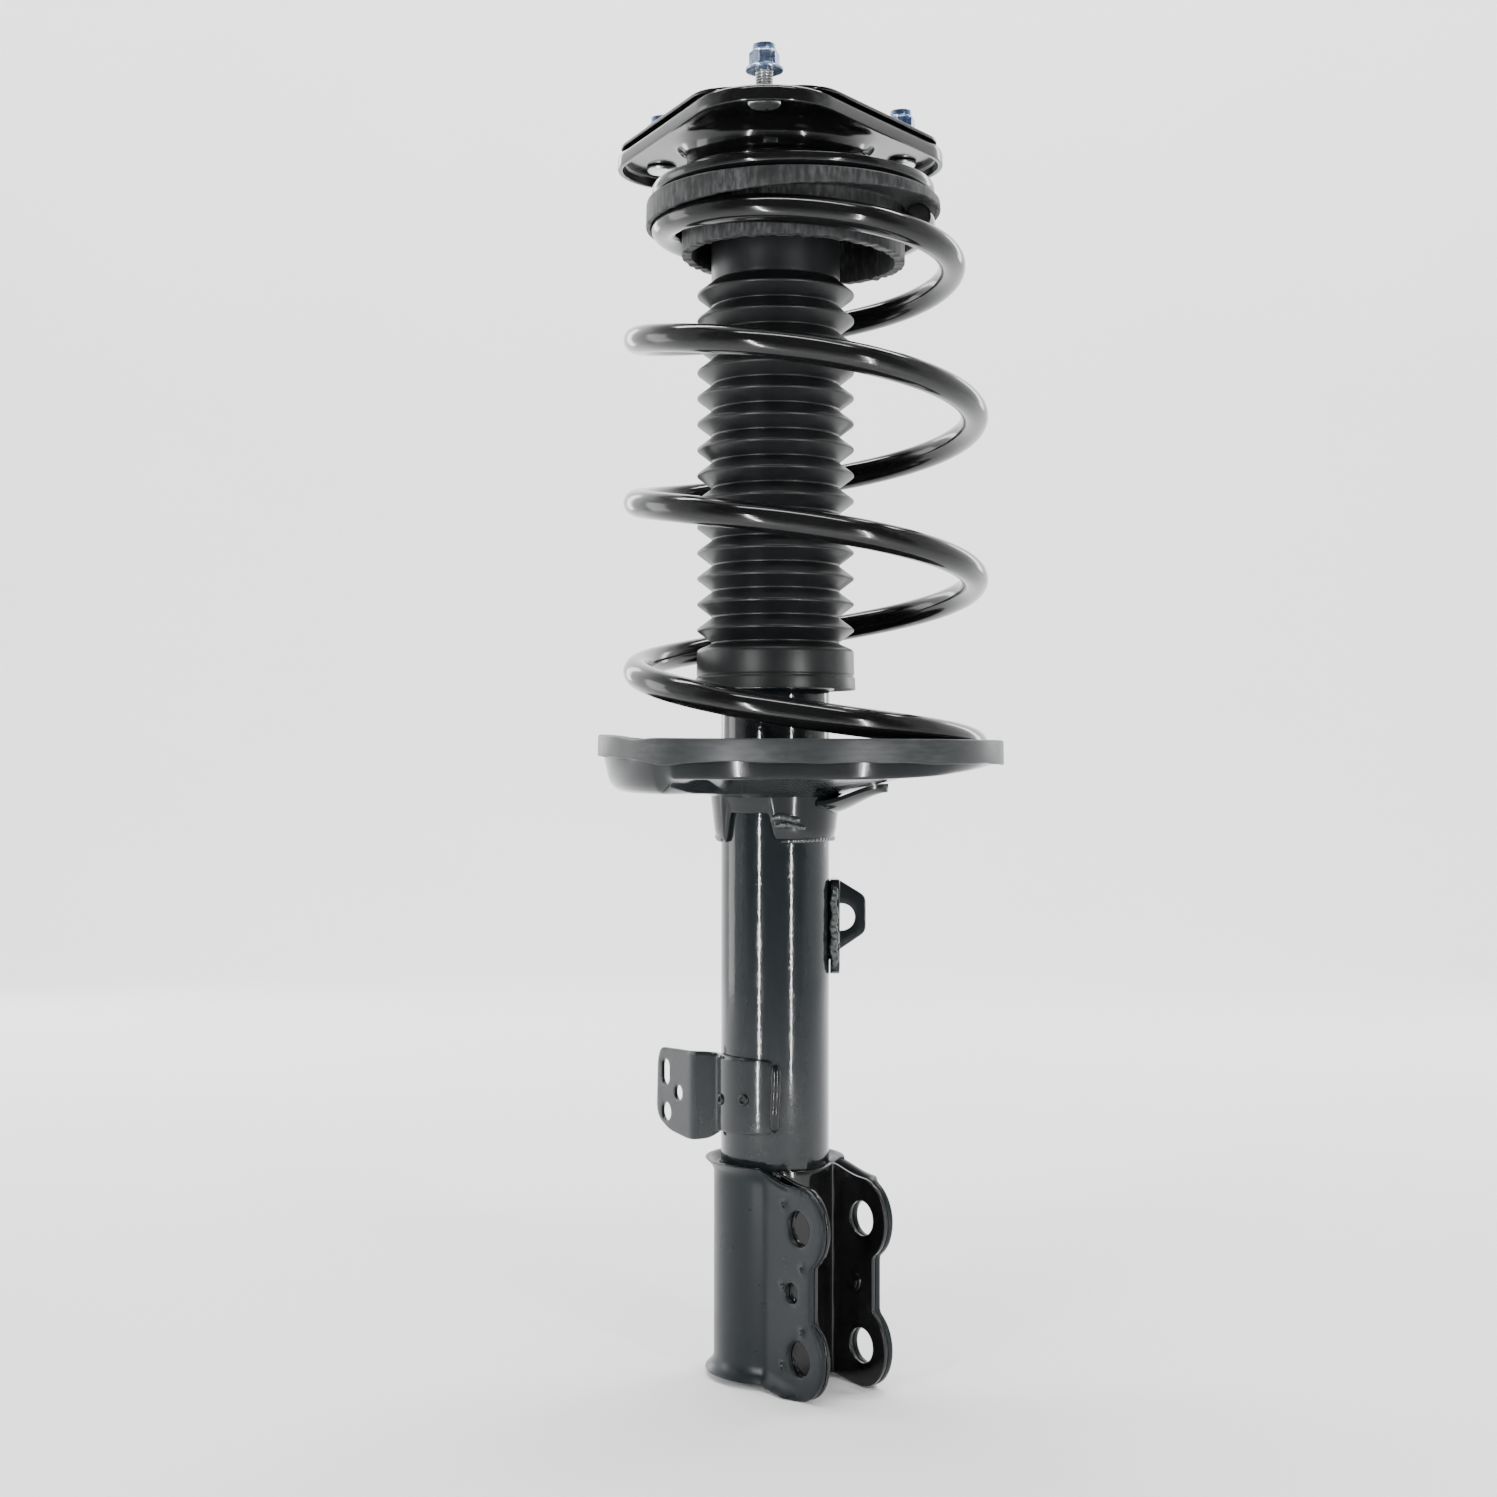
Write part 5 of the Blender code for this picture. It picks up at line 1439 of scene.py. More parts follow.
    def welds(self) -> Shape:
        """The beads under the pan: round the collar's foot, and a heavy patch at its front.

        Returns:
            The beads as one surface.
        """
        tube = tube_radius()
        beads = []
        runs = (
            (266.0, 292.0, 247.2, 1.5, 4.1), (270.0, 298.0, 243.6, 1.2, 3.6),
            (152.0, 208.0, 237.6, 1.3, 1.6), (275.0, 460.0, 236.6, 1.2, 1.5),
        )
        for start, end, height, size, out in runs:
            ring = arc((0.0, 0.0), tube + out * MM, start, end, 40)
            heights = height * MM + 0.8 * MM * np.sin(np.linspace(0.0, 5.0, 40))
            beads.append(weld_bead(np.column_stack([ring, heights]), size * MM, 2.4 * MM))
        return joined(beads)

    def build(self) -> None:
        """Makes the pan, the band, and the collar with its tongue and welds."""
        piece("spring_pan", self.pan(), Finish.SEAT_PAINT, Body.LOWER, "lower_spring_seat")
        piece("pan_band", self.band(), Finish.BAND, Body.LOWER, "lower_insulator")
        support = joined([self.collar(), self.gusset()])
        piece("pan_collar", support, Finish.SEAT_PAINT, Body.LOWER, "seat_support")
        piece("pan_weld_beads", self.welds(), Finish.WELD, Body.LOWER)


# ---------------------------------------------------------------- upper seat


@dataclass
class UpperSeat:
    """The dish over the spring, its rubber isolator, and the strut bearing on it."""

    coil: CoilSpring
    sheet: float = 2.5 * MM
    hole: float = 28.0 * MM
    pad: float = 4.2 * MM
    lip_depth: float = 8.4 * MM
    lip_swing: float = 3.8 * MM
    collar: tuple[float, float] = (47.5 * MM, 51.7 * MM)
    collar_depth: float = 26.5 * MM
    race_width: tuple[float, float] = (30.0 * MM, 41.0 * MM)
    ball: float = 1.45 * MM
    balls: int = 16

    def dish(self) -> Shape:
        """The dish: flat from a hole on the damper's axis out to a turned-up rim.

        Returns:
            The surface.
        """
        span = Span.of("upper_spring_seat")
        turn = full_turn(180)
        ray = np.stack([np.cos(turn), np.sin(turn)], axis=-1)
        middle = np.array(self.coil.top_centre)
        r, floor, sheet = span.radius, span.bottom, self.sheet

        def at(radius: float, height: float) -> Array:
            """A loop at a radius round the seat's middle, or on the hole's own circle."""
            plan = middle + ray * radius if radius > self.hole + 1e-6 else ray * self.hole
            return np.column_stack([plan, np.full(len(turn), height)])

        corners = [
            (at(self.hole, floor + sheet), 0.4), (at(r - sheet - 1.5 * MM, floor + sheet), 2.0),
            (at(r - sheet, span.top - 1 * MM), 0.8), (at(r - 0.4 * MM, span.top), 0.8),
            (at(r, floor + 3.0 * MM), 2.6), (at(r - 3.0 * MM, floor), 2.0),
            (at(self.hole, floor), 0.4),
        ]
        loops = softened(np.stack([c for c, _ in corners], axis=1), np.array([c for _, c in corners]) * MM, 4)
        return ring_shape(loops)

    def isolator(self) -> Shape:
        """The rubber: a pad on the wire, a lip outside it and a ragged collar inside.

        Returns:
            The surface.
        """
        span = Span.of("upper_isolator")
        turn = full_turn(360)
        top, r = span.top, span.radius
        coarse = np.sin(31.0 * turn) * np.sin(7.0 * turn)
        fine = 0.7 * np.sin(53.0 * turn + 2.0) * np.sin(3.0 * turn)
        rag = 0.35 * MM * (coarse + fine)
        edge = top - self.lip_depth + self.lip_swing * np.cos(turn) + 0.4 * rag
        foot = top - self.collar_depth - 2 * MM * np.cos(turn) + rag
        lip = self.coil.top_radius + self.coil.wire + 0.3 * MM
        inner, outer = self.collar
        corners = [
            (inner, top, 0.5), (r - 0.3 * MM, top, 1.6), (r, edge, 0.9), (lip, edge, 0.6),
            (lip, top - self.pad, 1.2), (outer, top - self.pad, 1.6),
            (outer + 0.5 * MM, foot, 0.6), (inner, foot, 0.4),
        ]
        return ringed(corners, turn, self.coil.top_centre)

    def races(self) -> tuple[Shape, Shape, Shape]:
        """The bearing's lower race, its cage with balls, and its upper race.

        Returns:
            The three surfaces.
        """
        low, cage, high = (Span.of("bearing_" + n) for n in ("lower_race", "ball_cage", "upper_race"))
        inner, outer = self.race_width
        middle = (inner + outer) / 2.0
        groove = [(middle - 1.6 * MM, 0.0), (middle, -0.9 * MM), (middle + 1.6 * MM, 0.0)]
        lower = [(outer, low.bottom), (inner, low.bottom), (inner, low.top)]
        lower += [(r, low.top + z) for r, z in groove] + [(outer, low.top)]
        upper = [(inner, high.top), (outer, high.top), (outer, high.bottom)]
        upper += [(r, high.bottom - z) for r, z in reversed(groove)] + [(inner, high.bottom)]
        rings = [turned(softened(c, 0.35 * MM, 2), 96) for c in (lower, upper)]
        height = (cage.bottom + cage.top) / 2.0
        sides = ((1, 1), (1, -1), (-1, -1), (-1, 1))
        band = [(middle + a * 2.6 * MM, height + b * 0.5 * MM) for a, b in sides]
        parts = [turned(softened(band, 0.2 * MM, 2), 96)]
        tilt = np.linspace(-1.5, 1.5, 10)
        half_round = np.stack([self.ball * np.cos(tilt), self.ball * np.sin(tilt)], axis=-1)
        ball = turned(half_round, 16, closed=False)
        for a in full_turn(self.balls):
            parts.append(ball.moved((middle * cos(a), middle * sin(a), height)))
        return rings[0], joined(parts), rings[1]

    def build(self) -> None:
        """Makes the dish, the isolator and the bearing."""
        piece("spring_dish", self.dish(), Finish.BLACK_PAINT, Body.UPPER, "upper_spring_seat")
        piece("spring_isolator", self.isolator(), Finish.ISOLATOR, Body.UPPER, "upper_isolator")
        lower, cage, upper = self.races()
        piece("bearing_lower_ring", lower, Finish.NYLON, Body.UPPER, "bearing_lower_race")
        piece("bearing_balls", cage, Finish.STEEL, Body.UPPER, "bearing_ball_cage")
        piece("bearing_upper_ring", upper, Finish.NYLON, Body.MOUNT, "bearing_upper_race")


# ---------------------------------------------------------------- boot and bump stop


@dataclass
class DustBoot:
    """The moulded bellows round the rod, and the foam bump stop inside it."""

    root: float = 30.25 * MM
    crest: float = 37.0 * MM
    wall: float = 1.3 * MM
    cup_height: float = 22.0 * MM
    folds: int = 14
    bellows_top: float = 499.0 * MM
    crest_land: float = 0.55 * MM
    root_land: float = 0.4 * MM
    cup_travel: float = 0.15

    def profile(self) -> Array:
        """The boot's outside from the neck down, then its inside a wall further in.

        Returns:
            The closed profile in (radius, height).
        """
        span = Span.of("dust_boot")
        cup_top = span.bottom + self.cup_height
        pitch = (self.bellows_top - cup_top) / self.folds
        line = [
            (self.crest + 0.8 * MM, span.bottom, 0.4),
            (self.crest + 0.55 * MM, span.bottom + 5.6 * MM, 0.3),
            (self.crest - 0.1 * MM, span.bottom + 6.0 * MM, 0.2),
            (self.crest - 0.1 * MM, span.bottom + 6.8 * MM, 0.2),
            (self.crest + 0.2 * MM, span.bottom + 7.2 * MM, 0.3),
            (self.crest, cup_top - 3.4 * MM, 1.6),
        ]
        for k in range(self.folds):
            base = cup_top + k * pitch
            line += [(self.root, base + self.root_land * side, 0.35) for side in (-1, 1)]
            line += [(self.crest, base + pitch / 2.0 + self.crest_land * side, 0.5) for side in (-1, 1)]
        line += [
            (self.root, self.bellows_top - self.root_land, 0.35),
            (self.root + 0.1 * MM, self.bellows_top + 1.2 * MM, 0.6),
            (self.root, span.top - 4 * MM, 1.0), (self.root + 4 * MM, span.top - 2.4 * MM, 0.8),
            (self.root + 4 * MM, span.top, 0.4),
        ]
        outer = np.array([(r, z) for r, z, _ in line])
        cuts = np.array([c for _, _, c in line]) * MM
        inner = outer[:-2] - [self.wall, 0.0]
        inner = np.concatenate([inner, [(self.root - self.wall, span.top)]])
        corners = np.concatenate([outer[::-1], inner])
        return softened(corners, np.concatenate([cuts[::-1], cuts[:-2], [0.3 * MM]]), 3)

    def bump_stop(self) -> Shape:
        """The foam spring: three rounded lobes and a tapered nose.

        Returns:
            The surface.
        """
        span = Span.of("bump_stop")
        r, top, length = span.radius, span.top, span.top - span.bottom
        hole = 10.6 * MM
        shares = (0.0, 0.24, 0.30, 0.38, 0.55, 0.61, 0.69, 0.86, 1.0)
        drops = (0.0, 0.0, 4.5, 1.0, 1.0, 5.0, 2.5, 3.5, 8.0)
        corners = [(r - d * MM, top - s * length) for s, d in zip(shares, drops)]
        corners += [(hole, span.bottom), (hole, top)]
        return turned(softened(corners, 3.0 * MM, 5), 72)

    def build(self) -> None:
        """Makes the boot on no body, between its free cup and its neck, and the stop; the boot does not fold.
        """
        profile, steps = self.profile(), 120
        made = piece("bellows_boot", turned(profile, steps), Finish.BOOT, None, "dust_boot", crease=50.0)
        span = Span.of("dust_boot")
        cup_top = span.bottom + self.cup_height
        share = np.clip((profile[:, 1] - cup_top) / (self.bellows_top - cup_top), 0.0, 1.0)
        weights = np.repeat(self.cup_travel + (1.0 - self.cup_travel) * share, steps)
        shorten(made, cup_top, self.bellows_top)
        piece("foam_stop", self.bump_stop(), Finish.FOAM, Body.MOUNT, "bump_stop")


# ---------------------------------------------------------------- top mount


@dataclass
class TopMount:
    """The three-lobed mount: plate, cover, rubber bush, studs and nuts."""

    sides: tuple[str, str, str] = ("left", "front", "right")
    turns: tuple[float, float, float] = (145.0, -95.0, 25.0)
    lobe_centre: float = 50.5 * MM
    lobe_radius: float = 35.0 * MM
    sheet: float = 2.5 * MM
    lip_round: float = 4.5 * MM
    cup_radius: float = 42.0 * MM
    cup_hole: float = 26.0 * MM
    ring: float = 2.6 * MM
    stud: float = 4.0 * MM
    stud_pitch: float = 1.25 * MM
    nut_width: float = 12.0 * MM
    nut_flange: float = 8.5 * MM
    nut_lift: float = 3.0 * MM
    rod_nut_width: float = 21.0 * MM
    cover_side: float = 61.0 * MM
    cover_lobe: float = 75.5 * MM
    cover_hole: float = 24.0 * MM
    bore: float = 7.3 * MM

    def lobes(self, inset: float = 0.0, per_arc: int = 60, per_side: int = 26) -> tuple[Array, Array]:
        """The outline round three equal circles, and the angle of each of its points.

        Args:
            inset: how far inside the full outline it runs.
            per_arc: points on each lobe's arc.
            per_side: points along each straight side.

        Returns:
            The points, of shape (count, 2), and their angles round the mount's middle.
        """
        centres = []
        for turn in sorted(self.turns):
            a = radians(turn)
            centres.append(self.lobe_centre * np.array([cos(a), sin(a)]))
        points = []
        for k, centre in enumerate(centres):
            after, before = centres[(k + 1) % 3], centres[k - 1]
            start = atan2(*(centre - before)[::-1]) - pi / 2.0
            end = atan2(*(after - centre)[::-1]) - pi / 2.0
            end += TAU * (end < start)
            a = np.linspace(start, end, per_arc)
            ray = np.stack([np.cos(a), np.sin(a)], axis=-1)
            points.append(centre + (self.lobe_radius - inset) * ray)
            v = np.linspace(0.0, 1.0, per_side + 2)[1:-1, None]
            side = centre * (1.0 - v) + after * v
            points.append(side + (self.lobe_radius - inset) * ray[-1])
        outline = np.concatenate(points)
        full = outline if inset == 0.0 else self.lobes(0.0, per_arc, per_side)[0]
        return outline, np.arctan2(full[:, 1], full[:, 0])

    def plate(self) -> Shape:
        """The pressing: lip, flat, and the cup sunk in its middle with a rolled ring.

        Returns:
            The surface.
        """
        span = Span.of("mount_plate")
        top, low = span.top, span.bottom
        lip = top - 7.5 * MM
        _, angle = self.lobes()
        ray = np.stack([np.cos(angle), np.sin(angle)], axis=-1)

        def edge(inset: float, height: float) -> Array:
            """The plate's outline, drawn in by an inset, at a height."""
            return np.column_stack([self.lobes(inset)[0], np.full(len(angle), height)])

        def cup(radius: float, height: float) -> Array:
            """A circle round the mount's axis at a height."""
            return np.column_stack([ray * radius, np.full(len(angle), height)])

        under, r, wall = top - self.sheet, self.cup_radius, self.cup_radius - self.sheet
        corners = [
            (cup(self.cup_hole, low + self.sheet), 0.6), (cup(wall, low + self.sheet), 2.0),
            (cup(wall, top), 1.6), (edge(0.0, top), self.lip_round / MM), (edge(0.0, lip), 0.9),
            (edge(self.sheet, lip), 0.9), (edge(self.sheet, under), 2.4),
            (cup(r + 4.5 * MM, under), 4.0), (cup(r, under - 6 * MM), 4.0),
            (cup(r, low + 6.5 * MM), 1.2), (cup(r + self.ring, low + 5.0 * MM), 1.4),
            (cup(r + self.ring, low + 2.6 * MM), 1.4), (cup(r - 0.5 * MM, low + 1.2 * MM), 1.0),
            (cup(r - 3 * MM, low), 1.4), (cup(self.cup_hole, low), 0.6),
        ]
        loops = softened(np.stack([c for c, _ in corners], axis=1), np.array([c for _, c in corners]) * MM, 5)
        return ring_shape(loops)

    def cover(self) -> Shape:
        """The thin six-sided plate on the mount, with holes for the studs and the rod.

        Returns:
            The surface.
        """
        span = Span.of("mount_cover")
        left, _, right = self.turns
        facing = (right, right + 60.0, left, left + 60.0, right + 240.0, right - 60.0)
        reach = np.array([self.cover_lobe, self.cover_side] * 3)
        a = np.radians(facing)
        normals = np.stack([np.cos(a), np.sin(a)], axis=-1)
        pairs = np.stack([normals, np.roll(normals, -1, axis=0)], axis=1)
        ends = np.stack([reach, np.roll(reach, -1)], axis=-1)
        corners = np.linalg.solve(pairs, ends[..., None])[..., 0]
        outline = eased(softened(corners, 12 * MM, 8), 1.5 * MM, 0.8 * MM)
        holes = [arc((0.0, 0.0), self.cover_hole, 0.0, 355.0, 72)]
        for side in self.sides:
            holes.append(arc(Span.of("mount_stud_" + side).centre, self.stud + 0.4 * MM, 0.0, 345.0, 24))
        middle, thickness = (span.bottom + span.top) / 2.0, span.top - span.bottom

        def carry(s: Array, z: Array, t: Array) -> Array:
            """The place of (s, z, t) on the flat cover."""
            return np.stack([s, z, middle + t], axis=-1)

        return Blank(outline, thickness, holes, 0.45 * MM, 6 * MM).shape(carry)

    def rubber(self) -> Shape:
        """The bonded bush: a rounded ring with a moulded channel round the sleeve.

        Returns:
            The surface.
        """
        span = Span.of("mount_rubber")
        r, low, top = span.radius, span.bottom, span.top
        corners = [
            (r - 4 * MM, top - 0.5 * MM), (r, top - 2 * MM), (r, low), (22 * MM, low),
            (20.5 * MM, low + 3 * MM), (12.3 * MM, low + 3 * MM), (12.3 * MM, top),
            (20 * MM, top), (24 * MM, top - 5 * MM), (30 * MM, top - 5 * MM),
        ]
        return turned(softened(corners, 2.0 * MM, 5), 96)

    def sleeve(self) -> Shape:
        """The bush's inner sleeve with its lower flange.

        Returns:
            The surface.
        """
        span = Span.of("mount_sleeve")
        low, top = span.bottom, span.top
        corners = [
            (12 * MM, top), (12 * MM, low + 2.2 * MM), (span.radius, low + 2.2 * MM),
            (span.radius, low), (self.bore, low), (self.bore, top),
        ]
        return turned(softened(corners, 0.5 * MM), 72)

    def washer(self) -> Shape:
        """The thick washer under the rod's nut."""
        span = Span.of("rod_washer")
        return turned(softened(span.ring_corners(self.bore), 0.7 * MM, 4), 72)

    def rod_nut(self) -> Shape:
        """The rod's hexagon nut, chamfered at both ends.

        Returns:
            The surface.
        """
        span = Span.of("rod_nut")
        low, top, corner = span.bottom, span.top, self.rod_nut_width / 2.0 / cos(pi / 6.0)
        face = self.rod_nut_width / 2.0 - 0.3 * MM
        outer = np.stack([[corner, corner], [top - 1.6 * MM, low + 1.6 * MM]], axis=-1)
        line = [(self.bore, top - 0.8 * MM), (self.bore + 0.8 * MM, top), (face, top), *outer]
        line += [(face, low), (self.bore + 0.8 * MM, low), (self.bore, low + 0.8 * MM)]
        return turned(np.array(line), 96, wave=hexagon_wave(self.rod_nut_width, low, top))

    def stud_shape(self, centre: tuple[float, float], span: Span) -> Shape:
        """A pressed-in stud: a domed head under the plate and a threaded shank.

        Args:
            centre: the stud's place in plan.
            span: the CAD stud's span.

        Returns:
            The surface.
        """
        low, top, head = span.bottom, span.top + 1.8 * MM, span.radius
        neck = low + 2.2 * MM
        start = [
            (1.5 * MM, low + 0.1 * MM), (head - 1.2 * MM, low), (head, low + 0.9 * MM),
            (head, neck), (self.stud, neck + 0.1 * MM),
        ]
        base = neck + 5.4 * MM
        start = softened(start, 0.5 * MM, 3, False)
        heights = thread_rows(base, top - 0.7 * MM, self.stud_pitch)
        thread = np.stack([np.full(len(heights), self.stud), heights], axis=-1)
        end = np.array([(self.stud - 0.8 * MM, top), (0.8 * MM, top)])
        wave = thread_wave(self.stud_pitch, 0.6 * MM, base, top)
        return turned(np.concatenate([start, thread, end]), 48, centre, False, wave)

    def nut_shape(self, centre: tuple[float, float], span: Span) -> Shape:
        """A flange nut: dished flange, chamfered hexagon and a crimped locking collar.

        Args:
            centre: the nut's place in plan.
            span: the CAD nut's span.

        Returns:
            The surface.
        """
        low, top = span.bottom + self.nut_lift, span.top + 1.8 * MM
        shoulder = low + 2.4 * MM
        hexagon_top = low + 8.6 * MM
        corner = self.nut_width / 2.0 / cos(pi / 6.0)
        face = self.nut_width / 2.0 - 0.2 * MM
        hole = self.stud + 0.15 * MM
        line = [
            (hole, top - 0.5 * MM), (hole + 0.5 * MM, top), (hole + 1.1 * MM, top - 0.3 * MM),
            (hole + 1.2 * MM, hexagon_top + 0.6 * MM), (hole + 1.5 * MM, hexagon_top + 0.05 * MM),
            (face - 0.1 * MM, hexagon_top), (corner, hexagon_top - 1.1 * MM),
            (corner, shoulder + 0.3 * MM), (face + 0.5 * MM, shoulder),
            (self.nut_flange - 0.3 * MM, low + 1.3 * MM), (self.nut_flange, low + 0.9 * MM),
            (self.nut_flange - 0.2 * MM, low + 0.1 * MM), (self.nut_flange - 1.4 * MM, low),
            (hole, low),
        ]
        hexagon = hexagon_wave(self.nut_width, shoulder + 0.2 * MM, hexagon_top, radians(12.0))

        def wave(r: Array, z: Array, a: Array) -> tuple[Array, Array]:
            """The hexagon, and three crimps in the collar over it."""
            crimp = 0.28 * MM * (0.5 + 0.5 * np.cos(3.0 * a)) * (z > hexagon_top + 0.3 * MM)
            return hexagon(r - crimp * (r > hole + 0.3 * MM), z, a)

        return turned(np.array(line), 120, centre, wave=wave)

    def build(self) -> None:
        """Makes every piece of the mount."""
        piece("mount_pressing", self.plate(), Finish.BLACK_PAINT, Body.MOUNT, "mount_plate")
        cover = self.cover()
        piece("mount_cover_plate", cover, Finish.BLACK_PAINT, Body.MOUNT, "mount_cover", crease=10.0)
        piece("bonded_rubber", self.rubber(), Finish.SEAL, Body.MOUNT, "mount_rubber")
        piece("bush_sleeve", self.sleeve(), Finish.STEEL, Body.MOUNT, "mount_sleeve")
        piece("thick_washer", self.washer(), Finish.ZINC, Body.MOUNT, "rod_washer")
        piece("rod_end_nut", self.rod_nut(), Finish.BLUE_ZINC, Body.MOUNT, "rod_nut")
        for side in self.sides:
            stud, nut = Span.of("mount_stud_" + side), Span.of("stud_nut_" + side)
            shank = self.stud_shape(stud.centre, stud)
            piece(f"tower_stud_{side}", shank, Finish.ZINC, Body.MOUNT, "mount_stud_" + side)
            hexagon = self.nut_shape(stud.centre, nut)
            piece(f"tower_nut_{side}", hexagon, Finish.BLUE_ZINC, Body.MOUNT, "stud_nut_" + side)


# ---------------------------------------------------------------- brackets


@dataclass
class KnuckleBracket:
    """The clevis for the steering knuckle: two bent sheets, wrapped and welded.

    Places on it are given by u, towards the wheel, n, across the ears, and the height.
    """

    wheel_angle: float = -52.0
    sheet: float = 3.0 * MM
    inner_sheet: float = 2.0 * MM
    gap: float = 0.3 * MM
    clevis: float = 32.0 * MM
    top: float = 87.5 * MM
    bottom: float = -11.0 * MM
    flare: float = 4.5 * MM
    flare_width: float = 6.0 * MM
    reach: float = 43.2 * MM
    hole: float = 8.0 * MM
    holes: tuple[float, float] = (63.3 * MM, 5.0 * MM)
    lobe: tuple[float, float] = (16.6 * MM, 18.6 * MM)
    waist: float = 51.0 * MM
    middle_hole: tuple[float, float, float] = (38.2 * MM, 33.5 * MM, 4.5 * MM)
    dimples: tuple[tuple[float, float], ...] = (
        (33.0, 72.6), (46.0, 45.6), (32.4, 35.7), (46.0, 17.7), (32.4, 0.0),
    )

    def place(self, u: Array | float, n: Array | float, z: Array | float) -> Array:
        """The point at u, n and a height.

        Args:
            u: the distance towards the wheel.
            n: the distance across the ears.
            z: the height.

        Returns:
            The points, of shape (..., 3).
        """
        c, s = cos(radians(self.wheel_angle)), sin(radians(self.wheel_angle))
        u, n, z = np.broadcast_arrays(u, n, z)
        return np.stack([u * c - n * s, u * s + n * c, z], axis=-1)

    def path(self, radius: float, offset: float, fillet: float, from_back: bool) -> tuple[Bend, float, float]:
        """The sheet's middle line: an arc on the tube, a bend, then the ear, and mirrored.

        The outer sheet goes round the tube's back, so its bend is hollow: its circle of
        radius f touches the arc from outside at height o + f. The inner sheet goes
        round the front and folds back, so its circle's middle is at height o - f.

        Args:
            radius: the arc's radius.
            offset: how far the ear stands from the middle plane.
            fillet: the bend's radius.
            from_back: whether the sheet goes round the tube's back.

        Returns:
            The line, the length along it of its middle, and that of the right ear at u = 0.
        """
        side = 1.0 if from_back else -1.0
        height = offset + side * fillet
        run = sqrt((radius + fillet) ** 2 - height**2)
        touch = atan2(height, run)
        start = pi if from_back else 0.0
        on_tube = np.linspace(start, touch, 60)
        half = [np.stack([radius * np.cos(on_tube), radius * np.sin(on_tube)], axis=-1)]
        bend = np.linspace(touch + pi, (1.0 + side / 2.0) * pi, 24)[1:]
        half.append(np.stack([run + fillet * np.cos(bend), height + fillet * np.sin(bend)], axis=-1))
        half.append(np.stack([np.linspace(run, 80 * MM, 60)[1:], np.full(59, offset)], axis=-1))
        right = np.concatenate(half)
        left = right[:0:-1] * [1.0, -1.0]
        line = Bend(np.concatenate([left, right]))
        middle = float(line.length[len(left)])
        ear = float(line.length[-1]) - 80 * MM
        return line, middle, ear

    def ear_edge(self) -> Array:
        """The ear's free edge from its top to its bottom, in (u, height).

        Returns:
            The edge's points.
        """
        rx, rz = self.lobe
        meet = degrees(acos((self.waist - self.reach) / rx))
        upper = arc((self.reach, self.holes[0]), (rx, rz), 90.0, -meet, 40)
        lower = arc((self.reach, self.holes[1]), (rx, rz), meet, -90.0, 40)
        return np.concatenate([upper, lower])

    def outline(self, line: Bend, middle: float, ear: float) -> Array:
        """The blank's outline in (s, height), both ears and the wrap between them.

        Args:
            line: the sheet's middle line.
            middle: the length along it of its middle.
            ear: the length along it of the right ear at u = 0.

        Returns:
            The outline's points.
        """
        edge = self.ear_edge()
        right = np.stack([ear + edge[:, 0], edge[:, 1]], axis=-1)
        left = np.stack([2.0 * middle - right[:, 0], right[:, 1]], axis=-1)
        s = np.linspace(2.0 * middle - ear - self.reach, ear + self.reach, 160)[1:-1]
        u = line.at(s)[0][:, 0]
        slope = smooth_step((u - 12 * MM) / (self.reach - 12 * MM))
        ear_top, ear_low = edge[0, 1], edge[-1, 1]
        top = self.top + (ear_top - self.top) * slope
        low = self.bottom + (ear_low - self.bottom) * slope
        below = np.stack([s[::-1], low[::-1]], axis=-1)
        above = np.stack([s, top], axis=-1)
        return np.concatenate([right, below, left[::-1], above])

    def bent(self, thickness: float, radius: float, offset: float, from_back: bool, flare: float) -> Shape:
        """One sheet of the bracket, with its holes, its flared lips and its dimples.

        Args:
            thickness: the sheet's thickness.
            radius: the radius of its middle line on the tube.
            offset: how far the ear's middle line stands from the middle plane.
            from_back: whether the sheet goes round the tube's back.
            flare: how far its lips lean out.

        Returns:
            The surface.
        """
        fillet = 1.6 * thickness / 2.0 + 0.6 * MM + 2.2 * MM * from_back
        line, middle, ear = self.path(radius, offset, fillet, from_back)
        outline = eased(self.outline(line, middle, ear), 1.2 * MM, 1.1 * MM)
        holes, extra = [], []
        u, z, small = self.middle_hole
        dimples = np.array(self.dimples) * MM
        for mirrored in (False, True):
            spots = [(self.reach, h, self.hole) for h in self.holes] + [(u, z, small)]
            for hu, hz, size in spots:
                s = 2.0 * middle - ear - hu if mirrored else ear + hu
                holes.append(arc((s, hz), size, 0.0, 350.0, 44))
        near = 2.0 * middle - ear - dimples[:, 0]
        near_dimples = np.stack([near, dimples[:, 1]], axis=-1)
        if from_back:
            for spot in near_dimples:
                extra += [arc(spot, r * MM, 0.0, 337.5, 16) for r in (0.5, 0.85, 1.15, 1.45, 1.8, 2.2)]
                extra.append(spot[None])
        sign = 1.0 if from_back else -1.0

